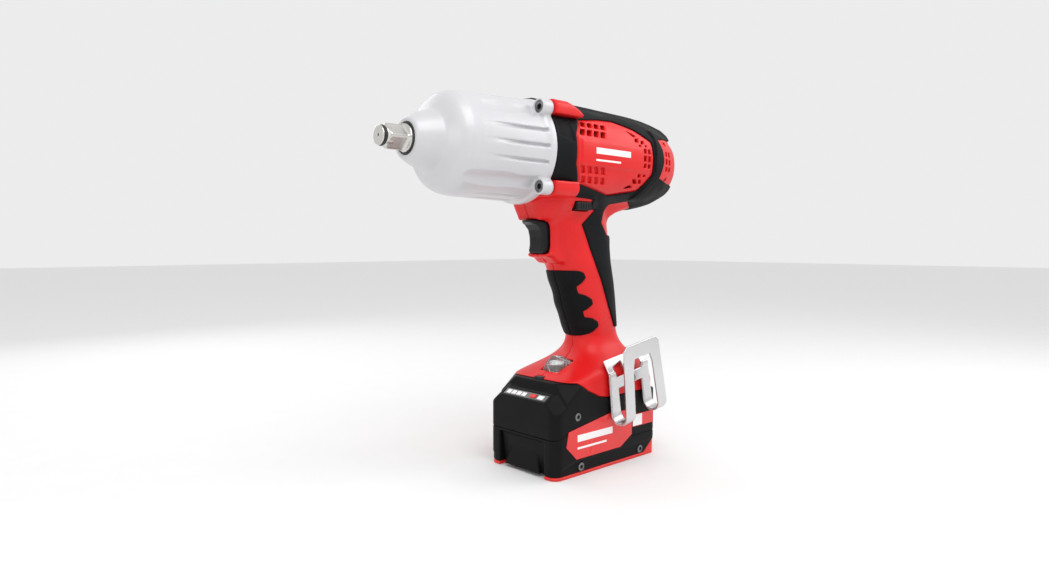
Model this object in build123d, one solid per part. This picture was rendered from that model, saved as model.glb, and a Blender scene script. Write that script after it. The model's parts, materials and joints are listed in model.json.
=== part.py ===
"""Cordless impact wrench with a half-inch square drive, as separate pieces.

Frame: millimetres, +X towards the nose, +Y to the tool's left, +Z up. The origin is the centre of the
battery's bottom face, so the tool stands on Z = 0. Each function below makes one piece or one group of
like pieces, and the table at the end writes each of them to parts/NAME.step.
"""

from build123d import *

import math
import os

# ---------------------------------------------------------------- driving dimensions
AXIS_Z = 243.0  # height of the drive line above the battery's bottom
GAP = 0.3  # clearance between pieces that move past each other
FIT = 0.05  # radial clearance of a shaft in its bearing
WALL = 2.6  # housing wall
SKIN = 1.3  # thickness of the soft cover on the housing

# drive line stations along X, nose to tail
TIP_X = 182.5
SQUARE_FRONT_X = 178.3
SQUARE_REAR_X = 163.5
NOSE_X = 162.0
ANVIL_JAW_X = (126.0, 134.4)
HAMMER_X = (99.0, 124.0)
HAMMER_LUG_X = 131.0
HAMMER_TRAVEL = 7.0
CARRIER_X = (75.0, 91.0)
GEAR_X = (78.0, 85.0)
FLANGE_X = 60.5  # joint face between hammer case and motor housing

SQUARE_AF = 12.7  # half-inch square drive, across flats
NECK_R = 9.25
PILOT_R = 6.45

# planetary gear set
MODULE = 0.8
PRESSURE_ANGLE = math.radians(25.0)
SUN_TEETH, PLANET_TEETH, RING_TEETH = 12, 21, 54
PLANETS = 3
STUB = 0.8  # addendum over module
TOOTH_GAP = 0.14  # taken off each tooth's thickness, for backlash

SCREW_Y, SCREW_Z = 30.0, 28.0  # hammer case screws, off the drive line

# battery pack
PACK_L, PACK_W = 121.0, 75.0
PACK_TOP = 55.0
RIM_TOP = 70.0
PACK_R = 9.0
CELL_R, CELL_L, CELL_PITCH = 9.1, 65.0, 18.9

# outline of the battery's top edge against the foot, seen from the side
SEAM = [(-60.5, 55.0), (3.0, 55.0), (11.0, 56.6), (24.0, 62.6), (34.0, 69.4), (61.0, 70.0)]


# ---------------------------------------------------------------- helpers
def cyl_x(x0, x1, r, y=0.0, z=0.0):
    """Cylinder along X; y and z are off the drive line."""
    return Pos((x0 + x1) / 2, y, AXIS_Z + z) * Rot(0, 90, 0) * Cylinder(r, abs(x1 - x0))


def ring_x(x0, x1, r_in, r_out, y=0.0, z=0.0):
    return cyl_x(x0, x1, r_out, y, z) - cyl_x(x0 - 1, x1 + 1, r_in, y, z)


def cyl_y(x, z, y0, y1, r):
    return Pos(x, (y0 + y1) / 2, z) * Rot(90, 0, 0) * Cylinder(r, abs(y1 - y0))


def box(x0, x1, y0, y1, z0, z1):
    return Pos((x0 + x1) / 2, (y0 + y1) / 2, (z0 + z1) / 2) * Box(x1 - x0, y1 - y0, z1 - z0)


def rounded_box(x0, x1, y0, y1, z0, z1, r):
    """Box whose upright edges are rounded."""
    plan = RectangleRounded(x1 - x0, y1 - y0, r)
    return Pos((x0 + x1) / 2, (y0 + y1) / 2, z0) * extrude(plan, z1 - z0)


def side_prism(points, y0, y1):
    """Solid between two Y planes with this outline in X and Z."""
    face = make_face(Polyline(*points, close=True))
    return Pos(0, y1, 0) * extrude(Plane.XZ * face, y1 - y0)


def revolve_x(points):
    """Solid of revolution about the drive line; points are (x, radius)."""
    face = make_face(Polyline(*points, close=True))
    return Pos(0, 0, AXIS_Z) * revolve(Plane.XZ * face, Axis.X, 360)


def around(shape, count, start=0.0):
    """Copies of a shape turned about the drive line."""
    step = 360.0 / count
    to_axis = Pos(0, 0, AXIS_Z)
    return [to_axis * Rot(start + k * step, 0, 0) * to_axis.inverse() * shape for k in range(count)]


def minus(shape, cutters):
    for cutter in cutters:
        shape = shape - cutter
    return shape


def plus(shape, others):
    for other in others:
        shape = shape + other
    return shape


def group(shapes):
    """Separate solids in one node."""
    solids = [s for shape in shapes for s in shape.solids()]
    return Compound(children=solids)


def left(shape):
    return shape & box(-200, 250, 0, 100, -10, 320)


def mirrored(shape):
    return mirror(shape, Plane.XZ)


# ---------------------------------------------------------------- housing shape
# barrel profile: x, radius
BARREL = [
    (60.5, 37.4), (-10.0, 37.4), (-45.0, 36.2), (-66.0, 33.8), (-84.0, 30.0), (-97.0, 25.0), (-104.0, 20.0),
]
# spine over the barrel and keel under it: x, z
SPINE = [(60.5, 281.2), (26.0, 282.6), (-48.0, 282.6), (-70.0, 279.6), (-90.0, 274.6), (-104.0, 265.0)]
KEEL = [(30.0, 206.0), (-12.0, 199.5), (-39.0, 199.5), (-60.0, 204.6), (-90.0, 212.6), (-104.0, 222.0)]
SPINE_HALF, KEEL_HALF = 14.0, 11.0
# handle stations: z, centre x, half length, half width, corner radius
HANDLE = [
    (212.0, 9.0, 31.0, 19.0, 13.0),
    (178.0, 0.5, 29.0, 19.0, 14.0),
    (140.0, -8.8, 26.8, 18.6, 15.0),
    (100.0, -19.2, 22.6, 17.4, 15.0),
    (88.0, -20.5, 24.5, 19.0, 15.0),
]
# foot stations: z, rear x, front x, half width, corner radius
FOOT = [
    (97.0, -42.0, 3.0, 18.0, 14.0),
    (88.0, -47.5, 7.0, 23.0, 14.0),
    (80.0, -54.5, 20.0, 31.0, 13.0),
    (72.0, -59.5, 41.0, 36.5, 10.0),
]


def barrel(grow=0.0):
    """The motor barrel, its surface moved out by grow."""
    profile = [(x, r + grow) for x, r in BARREL]
    tail = BARREL[-1][0] - max(grow, 0.0)
    profile[-1] = (tail, BARREL[-1][1] + grow)
    return revolve_x([(BARREL[0][0], 0.0)] + profile + [(tail, 0.0)])


def spine_and_keel(grow=0.0):
    top = [(x, z + grow) for x, z in SPINE]
    low = [(x, z - grow) for x, z in KEEL]
    top[-1] = (top[-1][0] - max(grow, 0.0), top[-1][1])
    low[-1] = (low[-1][0] - max(grow, 0.0), low[-1][1])
    half = SPINE_HALF + grow
    spine = side_prism(top + [(top[-1][0], AXIS_Z), (60.5, AXIS_Z)], -half, half)
    half = KEEL_HALF + grow
    keel = side_prism(low + [(low[-1][0], AXIS_Z), (30.0, AXIS_Z)], -half, half)
    return spine + keel


def stack(stations, grow):
    """Ruled loft through rounded rectangles: z, rear x, front x, half width, corner radius."""
    faces = []
    for z, x0, x1, b, r in stations:
        plan = RectangleRounded(x1 - x0 + 2 * grow, 2 * (b + grow), r + grow)
        faces.append(Pos((x0 + x1) / 2, 0, z) * plan)
    return loft(faces, ruled=True)


def handle(grow=0.0):
    return stack([(z, x - a, x + a, b, r) for z, x, a, b, r in HANDLE], grow)


def foot(grow=0.0):
    """The flared foot and the skirt below it, cut to the battery's top edge."""
    skirt = rounded_box(-60.0 - grow, 44.0 + grow, -37.0 - grow, 37.0 + grow, 50.0, 72.0, 9.0 + grow)
    above = [(x, z + GAP) for x, z in SEAM] + [(61, 110), (-80, 110), (-80, 55 + GAP)]
    return (stack(FOOT, grow) + skirt) & side_prism(above, -60, 60)


def trigger_housing(grow=0.0):
    """The block under the hammer case that carries the trigger."""
    outline = [
        (-10, 212),
        (54 + grow, 212),
        (55 + grow, 203),
        (52 + grow, 194 - grow),
        (42 + grow, 193 - grow),
        (34 + grow, 186),
        (33 + grow, 164 - grow),
        (10, 160 - grow),
    ]
    block = side_prism(outline, -13.5 - grow, 13.5 + grow)
    chin = rounded_box(-8, 55 + grow, -21 - grow, 21 + grow, 194 - grow, 214, 8)
    return block + chin


def rear_web(grow=0.0):
    """The web that runs from the back of the handle up to the barrel's keel."""
    outline = [
        (-10, 178),
        (-26.5 - grow, 178),
        (-27.5 - grow, 192),
        (-34 - grow, 200),
        (-48 - grow, 205 - grow),
        (-52, 212),
        (-10, 212),
    ]
    return side_prism(outline, -10.5 - grow, 10.5 + grow)


def corner_blocks(grow=0.0):
    """Four blocks behind the flange that take the hammer case screws."""
    blocks = []
    for y, z in ((1, 1), (1, -1), (-1, 1), (-1, -1)):
        blocks.append(cyl_x(33 - grow, FLANGE_X, 7.4 + grow, y * SCREW_Y, z * SCREW_Z))
    return blocks


def hook_seat():
    """Round pad on the side of the foot that a belt hook screws to; its hole is blind."""
    pad = cyl_y(HOOK_X, HOOK_Z, 25.6, 38.3, 5.2)
    return pad, cyl_y(HOOK_X, HOOK_Z, HOOK_HOLE_FLOOR, 45.0, HOOK_HOLE_R)


def body(grow=0.0):
    shape = barrel(grow) + spine_and_keel(grow) + handle(grow) + trigger_housing(grow) + rear_web(grow)
    return plus(shape, corner_blocks(grow))


# red panel left open in the soft cover, and the vents in it (x, z, length, height)
PANEL = [
    (38.3, 254), (31.5, 266), (8, 269), (-14, 269.5), (-36, 265.5), (-54, 257.3),
    (-54, 231.0), (-43, 217.8), (-11, 212.6), (31.5, 219.8), (38.3, 232.5),
]
VENTS = (
    [(27.5 - 6.6 * k, 262.6, 4.6, 4.0) for k in range(4)]
    + [(30.0 - 6.6 * k, 256.0, 4.6, 4.4) for k in range(4)]
    + [(30.0 - 6.6 * k, 230.0, 4.6, 4.4) for k in range(4)]
    + [(27.5 - 6.6 * k, 223.4, 4.6, 4.0) for k in range(4)]
    + [(-43.5 - 5.4 * j, 249.6 - 6.0 * k, 3.4, 4.0) for j in range(2) for k in range(3)]
)
TAIL_VENTS = [(-81.0 - 5.4 * j, 249.6 - 6.0 * k, 3.4, 4.0) for j in range(2) for k in range(3)]


def vent_cutters():
    return [
        box(x - w / 2, x + w / 2, 12, 60, z - h / 2, z + h / 2)
        for x, z, w, h in VENTS + TAIL_VENTS
    ]


def housing_left(outer):
    """Left half of the clamshell: shell, ribs, screw bosses and openings."""
    inner = barrel(-WALL) + spine_and_keel(-WALL) + handle(-WALL)
    room = foot(-WALL) & box(-80, 60, -60, 60, 68.5, 110)
    core = box(-8, 50, -10.6, 10.6, 167, 212)
    half = left(outer + foot())
    half = half - (inner + room + core)
    pad, hole = hook_seat()
    half = half + (left(ribs()) & barrel(-0.5))
    half = minus(half, openings_in_housing() + vent_cutters())
    half = plus(half, boss_posts(outer + foot()) + [pad])
    return minus(half, boss_holes() + [hole])


def ribs():
    """Rings that hold the motor and its bearings."""
    stations = ((52, 58, 8.05), (28, 31, 26.6), (-28, -25, 26.6), (-56, -50, 8.05))
    shapes = [ring_x(x0, x1, r, 40.0) for x0, x1, r in stations]
    return plus(shapes[0], shapes[1:])


# housing screws: x, z
HOUSING_SCREWS = [(-76, 262), (-76, 224), (36, 199), (-24, 186), (-22, 128), (-36, 86)]
POST_R, POST_HOLE_R = 3.4, 1.35


def boss_posts(outer):
    """Posts for the clamshell screws, joined to the left wall."""
    return [cyl_y(x, z, 0, 60, POST_R) & outer for x, z in HOUSING_SCREWS]


def boss_holes():
    return [cyl_y(x, z, -1, 10, POST_HOLE_R) for x, z in HOUSING_SCREWS]


SELECTOR = (8.0, 25.5, 200.0, 206.4)  # x0, x1, z0, z1
RAIL_NECK, RAIL_HEAD = 17.0, 21.0
LENS = [(36.5, 72.0), (33.5, 76.5), (24, 85.0), (9, 80.0), (10, 72.0)]


def openings_in_housing():
    x0, x1, z0, z1 = SELECTOR
    trigger = box(12, 70, -9.5, 9.5, 166.5, 193.2)
    selector = box(x0 - GAP, x1 + GAP, -40, 40, z0 - GAP, z1 + GAP)
    neck = box(-54, 60, -RAIL_NECK - 0.4, RAIL_NECK + 0.4, 50, 60.2)
    head = box(-54, 60, -RAIL_HEAD - 0.4, RAIL_HEAD + 0.4, 59.6, 66.6)
    latch = box(LATCH_X[0] - 0.4, 60, -LATCH_HALF - 0.4, LATCH_HALF + 0.4, 66, LATCH_TOP + 0.5)
    lens = side_prism([(x, z) for x, z in LENS], -9.2, 9.2)
    case_screws = [
        cyl_x(40, 62, 2.1, y * SCREW_Y, z * SCREW_Z) for y in (1, -1) for z in (1, -1)
    ]
    nose = cyl_x(FLANGE_X - 5, FLANGE_X + 1, 24.0)
    return [trigger, selector, neck, head, latch, lens, nose, *case_screws]


# belt hook: centre of its screw, and its lean about Y
HOOK_X, HOOK_Z, HOOK_LEAN = -21.0, 68.0, 9.0
HOOK_HOLE_R, HOOK_HOLE_FLOOR = 1.7, 28.0


def housing_right(left_half):
    """Right half: the mirror of the left, with clearance holes and head recesses."""
    half = mirrored(left_half)
    for x, z in HOUSING_SCREWS:
        half = half - cyl_y(x, z, -60, 1, 1.65)
        reach = 14.0 if z > 100 else 22.0
        half = half - cyl_y(x, z, -60, -reach, 3.1)
    return half


def housing_screws():
    """Six long screws from the right side."""
    screws = []
    for x, z in HOUSING_SCREWS:
        reach = 14.0 if z > 100 else 22.0
        shank = cyl_y(x, z, -reach - 1.0, 9.0, 1.3)
        head = cyl_y(x, z, -reach - 2.2, -reach - 0.1, 2.9)
        drive = Pos(x, -reach - 2.4, z) * Rot(90, 0, 0) * extrude(RegularPolygon(1.3, 6), 1.2, both=True)
        screws.append(shank + head - drive)
    return group(screws)


# ---------------------------------------------------------------- soft cover
def collar_region():
    """Outline of the soft cover on the barrel and down the back strap, from the side."""
    return [
        (60.2, 219.6), (35.6, 218.4), (35.0, 208.6), (19.2, 207.0), (19.2, 199.4), (-0.5, 200.6),
        (14.0, 189.5), (4.7, 170.3), (-7.7, 147.3), (-19.2, 123.6), (-29.5, 105.0), (-60, 104.0),
        (-60, 178.0), (-17.2, 181.8), (-9.6, 191.4), (-13.5, 198.9), (-23.3, 206.1), (-44.0, 208.0),
        (-66, 200), (-125, 200), (-125, 231), (-72, 231), (-72, 257), (-125, 257), (-125, 300),
        (60.2, 300),
    ]


def soft_cover_left(outer):
    """Soft skin over the left half's barrel and the back of the handle."""
    skin = barrel(SKIN) + spine_and_keel(SKIN) + handle(SKIN) + rear_web(SKIN)
    skin = (skin & side_prism(collar_region(), 0.0, 60)) - outer
    skin = skin - box(-23, 4, -1, 2, 280, 290)
    skin = skin - side_prism(PANEL, 5, 60)
    skin = minus(skin, corner_blocks(0.25)[:2])
    x0, x1, z0, z1 = SELECTOR
    skin = skin - box(x0 - GAP, x1 + GAP, 0, 60, z0 - GAP, z1 + GAP)
    return largest(skin, 40.0)


PAD = [
    (60, 153.6), (15.0, 153.2), (10.0, 151.4), (8.4, 147.9), (13.0, 143.6), (17.2, 140.2), (14.2, 134.6),
    (7.0, 133.4), (0.6, 130.4), (-0.6, 126.5), (4.2, 123.2), (9.2, 119.8), (7.6, 116.0), (-1.2, 115.2),
    (-8.2, 111.4), (-8.6, 107.6), (-3.0, 102.8), (6.0, 99.0), (60, 97.0),
]


def grip_pad_left():
    skin = (handle(SKIN) & side_prism(PAD, 0.0, 60)) - handle()
    return largest(skin, 40.0)


def largest(shape, floor):
    """Drops slivers smaller than floor, in cubic millimetres."""
    return group([s for s in shape.solids() if s.volume > floor])


# ---------------------------------------------------------------- hammer case
def hammer_case():
    profile = [
        (NOSE_X, 10.9), (NOSE_X, 13.6), (157.0, 17.4), (149.5, 19.6), (147.5, 22.0), (138.0, 33.0),
        (132.0, 35.4), (117.0, 36.3), (80.0, 37.6), (66.5, 38.6), (66.5, 39.7), (FLANGE_X, 39.7),
        (FLANGE_X, 34.2), (88.0, 34.2), (88.0, 30.5), (131.0, 30.5), (135.0, 26.5), (135.0, 11.5),
        (156.0, 11.5), (156.0, 10.0), (157.5, 10.0), (157.5, 10.9),
    ]
    case = revolve_x(profile)
    for y in (SCREW_Y, -SCREW_Y):
        for z in (SCREW_Z, -SCREW_Z):
            ear = cyl_x(FLANGE_X, 70.0, 7.2, y, z)
            web = cyl_x(FLANGE_X, 66.5, 8.6, y * 0.9, z * 0.9)
            case = case + (ear + web - cyl_x(50, 80, 34.2))
    for y in (SCREW_Y, -SCREW_Y):
        for z in (SCREW_Z, -SCREW_Z):
            case = case - cyl_x(70.0, 135, 6.4, y * 1.04, z * 1.04)
            case = case - cyl_x(66.5, 71, 4.6, y, z) - cyl_x(50, 71, 2.3, y, z)
    groove = cyl_x(63.8, 140, 1.7, 0, 0)
    for turn in (17.5, 0.0, -17.5):
        for side in (90.0, -90.0):
            angle = math.radians(side + turn)
            y, z = 38.2 * math.sin(angle), 38.2 * math.cos(angle)
            case = case - (Pos(0, y, z) * groove)
    for turn in (-12.0, 12.0):
        for side in (0.0, 180.0):
            angle = math.radians(side + turn)
            y, z = 38.2 * math.sin(angle), 38.2 * math.cos(angle)
            case = case - (Pos(0, y, z) * groove)
    return case


def case_screws():
    """Four socket screws, flange to corner blocks."""
    screws = []
    for y in (SCREW_Y, -SCREW_Y):
        for z in (SCREW_Z, -SCREW_Z):
            shank = cyl_x(42.0, 66.6, 1.95, y, z)
            head = cyl_x(66.6, 69.8, 4.3, y, z)
            socket = Pos(69.9, y, AXIS_Z + z) * Rot(0, 90, 0) * extrude(
                RegularPolygon(2.3, 6), 2.2, both=True
            )
            screws.append(shank + head - socket)
    return group(screws)


def anvil_bushing():
    return ring_x(135.1, 155.9, NECK_R + FIT, 11.42)


def front_seal():
    return ring_x(157.6, 161.4, NECK_R + 0.12, 10.82)


# ---------------------------------------------------------------- impact mechanism
def anvil():
    """Square drive, neck, and the two jaws that the hammer strikes."""
    neck = cyl_x(ANVIL_JAW_X[0], SQUARE_REAR_X, NECK_R)
    pilot = cyl_x(SQUARE_FRONT_X - 3, TIP_X, PILOT_R)
    pilot = pilot - ring_x(178.7, 181.3, 4.4, 9.0)
    square = Pos((SQUARE_FRONT_X + SQUARE_REAR_X) / 2, 0, AXIS_Z) * Rot(45, 0, 0) * Box(
        SQUARE_FRONT_X - SQUARE_REAR_X + 1.0, SQUARE_AF, SQUARE_AF
    )
    square = square & (cyl_x(SQUARE_REAR_X - 2, SQUARE_FRONT_X, 8.45))
    centre = cyl_x(TIP_X - 2.6, TIP_X + 1, 1.0)
    disc = cyl_x(*ANVIL_JAW_X, 13.2)
    wings = box(*ANVIL_JAW_X, -25.4, 25.4, AXIS_Z - 7.5, AXIS_Z + 7.5) & cyl_x(*ANVIL_JAW_X, 25.4)
    shape = plus(neck + pilot + square + disc, [wings])
    return shape - centre - cyl_x(ANVIL_JAW_X[0] - 1, 137.5, 4.5)


def friction_ring():
    """Split ring that grips the socket."""
    return ring_x(178.85, 181.15, 5.25, 6.75) - box(178, 182, -0.9, 0.9, AXIS_Z, AXIS_Z + 9)


def ring_cushion():
    return ring_x(179.0, 181.0, 4.45, 5.2)


def lug_sector(x0, x1, r0, r1, half_angle):
    """Block between two radii and two angles, centred on +Z."""
    reach = 60.0
    a = math.radians(half_angle)
    y, z = reach * math.sin(a), reach * math.cos(a)
    wedge = [(0, 0), (y, z), (-y, z)]
    face = make_face(Polyline(*wedge, close=True))
    plane = Plane(origin=(x0, 0, AXIS_Z), x_dir=(0, 1, 0), z_dir=(1, 0, 0))
    return extrude(plane * face, x1 - x0) & ring_x(x0, x1, r0, r1)


BALL_R, BALL_X = 2.6, 116.0
SPINDLE_R = 8.8


def hammer():
    x0, x1 = HAMMER_X
    profile = [
        (x0, 17.0), (x0, 25.8), (x0 + 1.2, 27.0), (x1 - 1.2, 27.0), (x1, 25.8), (x1, SPINDLE_R + 0.1),
        (x0 + 0.5, SPINDLE_R + 0.1), (x0 + 0.5, 10.4), (112.0, 10.4), (112.0, 17.0),
    ]
    block = revolve_x(profile)
    lug = lug_sector(x1 - 0.5, HAMMER_LUG_X, 14.0, 26.4, 26.0)
    block = plus(block, around(lug, 2))
    return block - cam_groove(BALL_X, x1 + 2)


def cam_groove(start, end):
    """Straight grooves for the balls, on both sides of the drive line."""
    r, y = BALL_R + 0.1, SPINDLE_R + BALL_R + 0.3
    slot = box(start, end, -y, y, AXIS_Z - r, AXIS_Z + r)
    slot = slot + cyl_y(start, AXIS_Z, -y, y, r) + cyl_y(end, AXIS_Z, -y, y, r)
    inside = SPINDLE_R - BALL_R - 0.1
    return slot - box(start - 9, end + 9, -inside, inside, AXIS_Z - 9, AXIS_Z + 9)


def cam_balls():
    return group([Pos(BALL_X, s * SPINDLE_R, AXIS_Z) * Sphere(BALL_R) for s in (1, -1)])


def spindle():
    """Cam spindle with the planet carrier at its back."""
    x0, x1 = CARRIER_X
    shaft = cyl_x(x1 - 1, 125.0, SPINDLE_R) + cyl_x(124, 136.5, 4.5 - FIT)
    carrier = cyl_x(x0, x1, 17.4)
    journal = cyl_x(67.0, x0 + 1, 10.0)
    shape = shaft + carrier + journal
    shape = shape - cyl_x(60, GEAR_X[1] + 1.5, 6.4)
    pocket = cyl_x(GEAR_X[0] - 0.4, GEAR_X[1] + 0.4, planet_tip() + 0.4, 0, planet_orbit())
    pin = cyl_x(x0 - 1, x1 + 1, 2.5, 0, planet_orbit())
    shape = minus(shape, around(pocket, PLANETS) + around(pin, PLANETS))
    return shape - cam_groove(BALL_X - HAMMER_TRAVEL, BALL_X)


def planet_pins():
    x0, x1 = CARRIER_X
    return group(around(cyl_x(x0 + 0.1, x1 - 0.1, 2.45, 0, planet_orbit()), PLANETS))


SPRING_X = (91.3, 110.3)


def hammer_spring():
    """Coil spring between the carrier and the hammer's pocket."""
    wire, mean = 1.35, 13.6
    x0, x1 = SPRING_X
    height = x1 - x0 - 2 * wire
    path = Helix(pitch=height / 3.5, height=height, radius=mean)
    start = Plane(origin=path @ 0, z_dir=path % 0)
    coil = sweep(start * Circle(wire), path=path)
    return Pos(x0 + wire, 0, AXIS_Z) * Rot(0, 90, 0) * coil


def spring_washer():
    return ring_x(110.6, 111.8, 10.6, 16.8)


# ---------------------------------------------------------------- gears
def planet_orbit():
    return MODULE * (SUN_TEETH + PLANET_TEETH) / 2


def planet_tip():
    return MODULE * (PLANET_TEETH / 2 + STUB)


def involute_angle(radius, base):
    """Roll-off angle of an involute at this radius."""
    if radius <= base:
        return 0.0
    t = math.acos(base / radius)
    return math.tan(t) - t


def flank(teeth, radius, thinner):
    """Half the angle that a tooth fills at this radius."""
    pitch = MODULE * teeth / 2
    base = pitch * math.cos(PRESSURE_ANGLE)
    half = math.pi / (2 * teeth) - thinner / (2 * pitch)
    return half + involute_angle(pitch, base) - involute_angle(radius, base)


def gear_outline(teeth, r_root, r_tip, thinner, turn):
    """Polygon of a spur gear; a tooth is centred on angle turn."""
    steps = 2
    radii = [r_root + (r_tip - r_root) * k / steps for k in range(steps + 1)]
    points = []
    for tooth in range(teeth):
        middle = turn + 2 * math.pi * tooth / teeth
        for r in radii:
            points.append((r, middle - flank(teeth, r, thinner)))
        for r in reversed(radii):
            points.append((r, middle + flank(teeth, r, thinner)))
    return [(r * math.cos(a), r * math.sin(a)) for r, a in points]


def gear_solid(points, x0, x1, y=0.0, z=0.0):
    plane = Plane(origin=(x0, y, AXIS_Z + z), x_dir=(0, 1, 0), z_dir=(1, 0, 0))
    return extrude(plane * make_face(Polyline(*points, close=True)), x1 - x0)


def motor_pinion():
    tip = MODULE * (SUN_TEETH / 2 + STUB)
    root = MODULE * (SUN_TEETH / 2 - STUB - 0.25)
    points = gear_outline(SUN_TEETH, root, tip, TOOTH_GAP, 0.0)
    return gear_solid(points, GEAR_X[0], GEAR_X[1]) - cyl_x(70, 90, 2.55)


def planet_angle(k):
    """Direction of planet k from the drive line; the first sits at +Z."""
    return math.pi / 2 + 2 * math.pi * k / PLANETS


def planet_gear(k):
    """Planet k, turned so that its teeth mesh with the sun's at rest."""
    a = planet_angle(k)
    turn = (PLANET_TEETH * (a + math.pi) + SUN_TEETH * a - math.pi) / PLANET_TEETH
    root = MODULE * (PLANET_TEETH / 2 - STUB - 0.25)
    points = gear_outline(PLANET_TEETH, root, planet_tip(), TOOTH_GAP, turn)
    y, z = planet_orbit() * math.cos(a), planet_orbit() * math.sin(a)
    gear = gear_solid(points, GEAR_X[0], GEAR_X[1], y, z)
    return gear - cyl_x(70, 90, 2.55, y, z)


def ring_gear():
    """Internal gear: a blank less the shape of an equal external gear's tooth spaces."""
    a = planet_angle(0)
    turn = (PLANET_TEETH * math.pi + (SUN_TEETH + RING_TEETH) * a) / RING_TEETH
    space = turn + math.pi / RING_TEETH
    r_tip = MODULE * (RING_TEETH / 2 - STUB)
    r_root = MODULE * (RING_TEETH / 2 + STUB + 0.25)
    points = gear_outline(RING_TEETH, r_tip, r_root, -TOOTH_GAP, space)
    return cyl_x(77.0, 86.0, 26.0) - gear_solid(points, 76, 87)


def gear_cover():
    """Cup behind the gears; it holds the ring gear and the spindle bearing."""
    profile = [
        (61.0, 7.0), (61.0, 33.9), (87.6, 33.9), (87.6, 26.1), (76.6, 26.1), (76.6, 18.6),
        (73.5, 17.1), (67.5, 17.1), (67.5, 11.5), (64.5, 11.5), (64.5, 7.0),
    ]
    cup = revolve_x(profile)
    return cup - ring_x(70.0, 72.2, 32.2, 36.0)


def case_seal_ring():
    return ring_x(70.15, 72.05, 32.3, 34.1)


def bearing(x0, x1, r_in, r_out, balls):
    """Ball bearing: two rings and a row of balls."""
    third = (r_out - r_in) / 3
    middle = (r_in + r_out) / 2
    ball_r = third * 0.62
    groove = Pos((x0 + x1) / 2, 0, AXIS_Z) * Rot(0, 90, 0) * Torus(middle, ball_r + 0.06)
    inner = ring_x(x0, x1, r_in, r_in + third) - groove
    outer = ring_x(x0, x1, r_out - third, r_out) - groove
    ball = Pos((x0 + x1) / 2, 0, AXIS_Z + middle) * Sphere(ball_r)
    return group([inner, outer, *around(ball, balls)])


# ---------------------------------------------------------------- motor
def rotor_shaft():
    return cyl_x(-59.0, 86.0, 2.5)


def rotor_core():
    core = ring_x(-24.0, 26.0, 2.5, 17.0)
    slot = box(-25, 27, -1.3, 1.3, AXIS_Z + 8, AXIS_Z + 18)
    return minus(core, around(slot, 12))


def rotor_windings():
    """Copper end turns at both ends of the core."""
    front = ring_x(26.1, 31.0, 4.0, 13.5)
    rear = ring_x(-29.5, -24.1, 4.0, 13.5)
    return group([front, rear])


def commutator():
    body_ = ring_x(-44.0, -31.0, 2.5, 10.5)
    cut = box(-45, -32.5, -0.3, 0.3, AXIS_Z + 8.5, AXIS_Z + 12)
    return minus(body_, around(cut, 16))


def cooling_fan():
    hub = ring_x(38.0, 46.0, 2.5, 8.0)
    disc = ring_x(38.0, 39.6, 2.6, 23.0)
    blade = box(39.5, 46.0, -0.8, 0.8, AXIS_Z + 7.5, AXIS_Z + 23.0)
    return plus(hub + disc, around(blade, 11))


def stator_can():
    return ring_x(-30.0, 34.0, 24.5, 26.5)


def stator_magnets():
    arc = lug_sector(-24.0, 26.0, 17.7, 24.4, 36.0)
    return group(around(arc, 4, 45.0))


def brush_plate():
    """Ring that carries the four brush holders."""
    plate = ring_x(-47.5, -45.0, 6.0, 26.4)
    holder = box(-45.1, -30.6, -5.2, 5.2, AXIS_Z + 12.0, AXIS_Z + 23.0)
    holder = holder - box(-44.0, -31.6, -3.6, 3.6, AXIS_Z + 11.0, AXIS_Z + 24.0)
    return plus(plate, around(holder, 4, 45.0))


def brushes():
    block = box(-43.6, -32.0, -3.4, 3.4, AXIS_Z + 10.65, AXIS_Z + 20.0)
    block = block - cyl_x(-60, 0, 10.62)
    return group(around(block, 4, 45.0))


def brush_springs():
    leaf = box(-43.0, -32.6, -1.5, 1.5, AXIS_Z + 20.1, AXIS_Z + 22.6)
    return group(around(leaf, 4, 45.0))


# ---------------------------------------------------------------- controls
def trigger():
    """Curved trigger with a lip on top; it slides into the handle."""
    face = make_face(
        Polyline((44.0, 190.6), (49.5, 192.4), (30.0, 192.4), (26.0, 192.4), (26.0, 167.2), (41.0, 167.2))
        + Spline((41.0, 167.2), (38.6, 173.0), (38.9, 181.5), (44.0, 190.6))
    )
    shape = Pos(0, 9.0, 0) * extrude(Plane.XZ * face, 18.0)
    stem = box(19.2, 27, -3, 3, 176, 184)
    return shape + stem


def switch_module():
    """Trigger switch with its electronics."""
    block = rounded_box(-6.0, 18.8, -10.0, 10.0, 168.0, 192.0, 1.5)
    tower = box(4.0, 12.0, -6.0, 6.0, 191.5, 195.5)
    return block + tower - box(10.0, 19.5, -3.3, 3.3, 175.7, 184.3)


def direction_selector():
    """Cross bolt for forward, lock and reverse."""
    x0, x1, z0, z1 = SELECTOR
    bolt = box(x0, x1, -25.0, 25.0, z0, z1)
    bolt = fillet(bolt.edges().filter_by(Axis.Y), 1.2)
    thumb = [cyl_y(x0 + 5.5 + 3.2 * k, z1 + 1.9, 22.0, 26.0, 2.6) for k in range(3)]
    bolt = minus(bolt, thumb + [mirrored(t) for t in thumb])
    return bolt + box(6.5, 9.5, -2.0, 2.0, 196.0, z0 + 1)


def led_lens():
    """Clear lens of the work light, on the front of the foot."""
    return side_prism([(35.9, 72.6), (33.2, 76.2), (24.0, 84.3), (9.9, 79.6), (10.6, 72.6)], -8.9, 8.9)


def led_board():
    return box(12.0, 32.0, -7.0, 7.0, 70.6, 71.8)


def control_board():
    return box(-44.0, 4.0, -17.0, 17.0, 71.0, 72.6)


BLADE_Y = (-14.0, -7.0, 7.0, 14.0)


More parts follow.
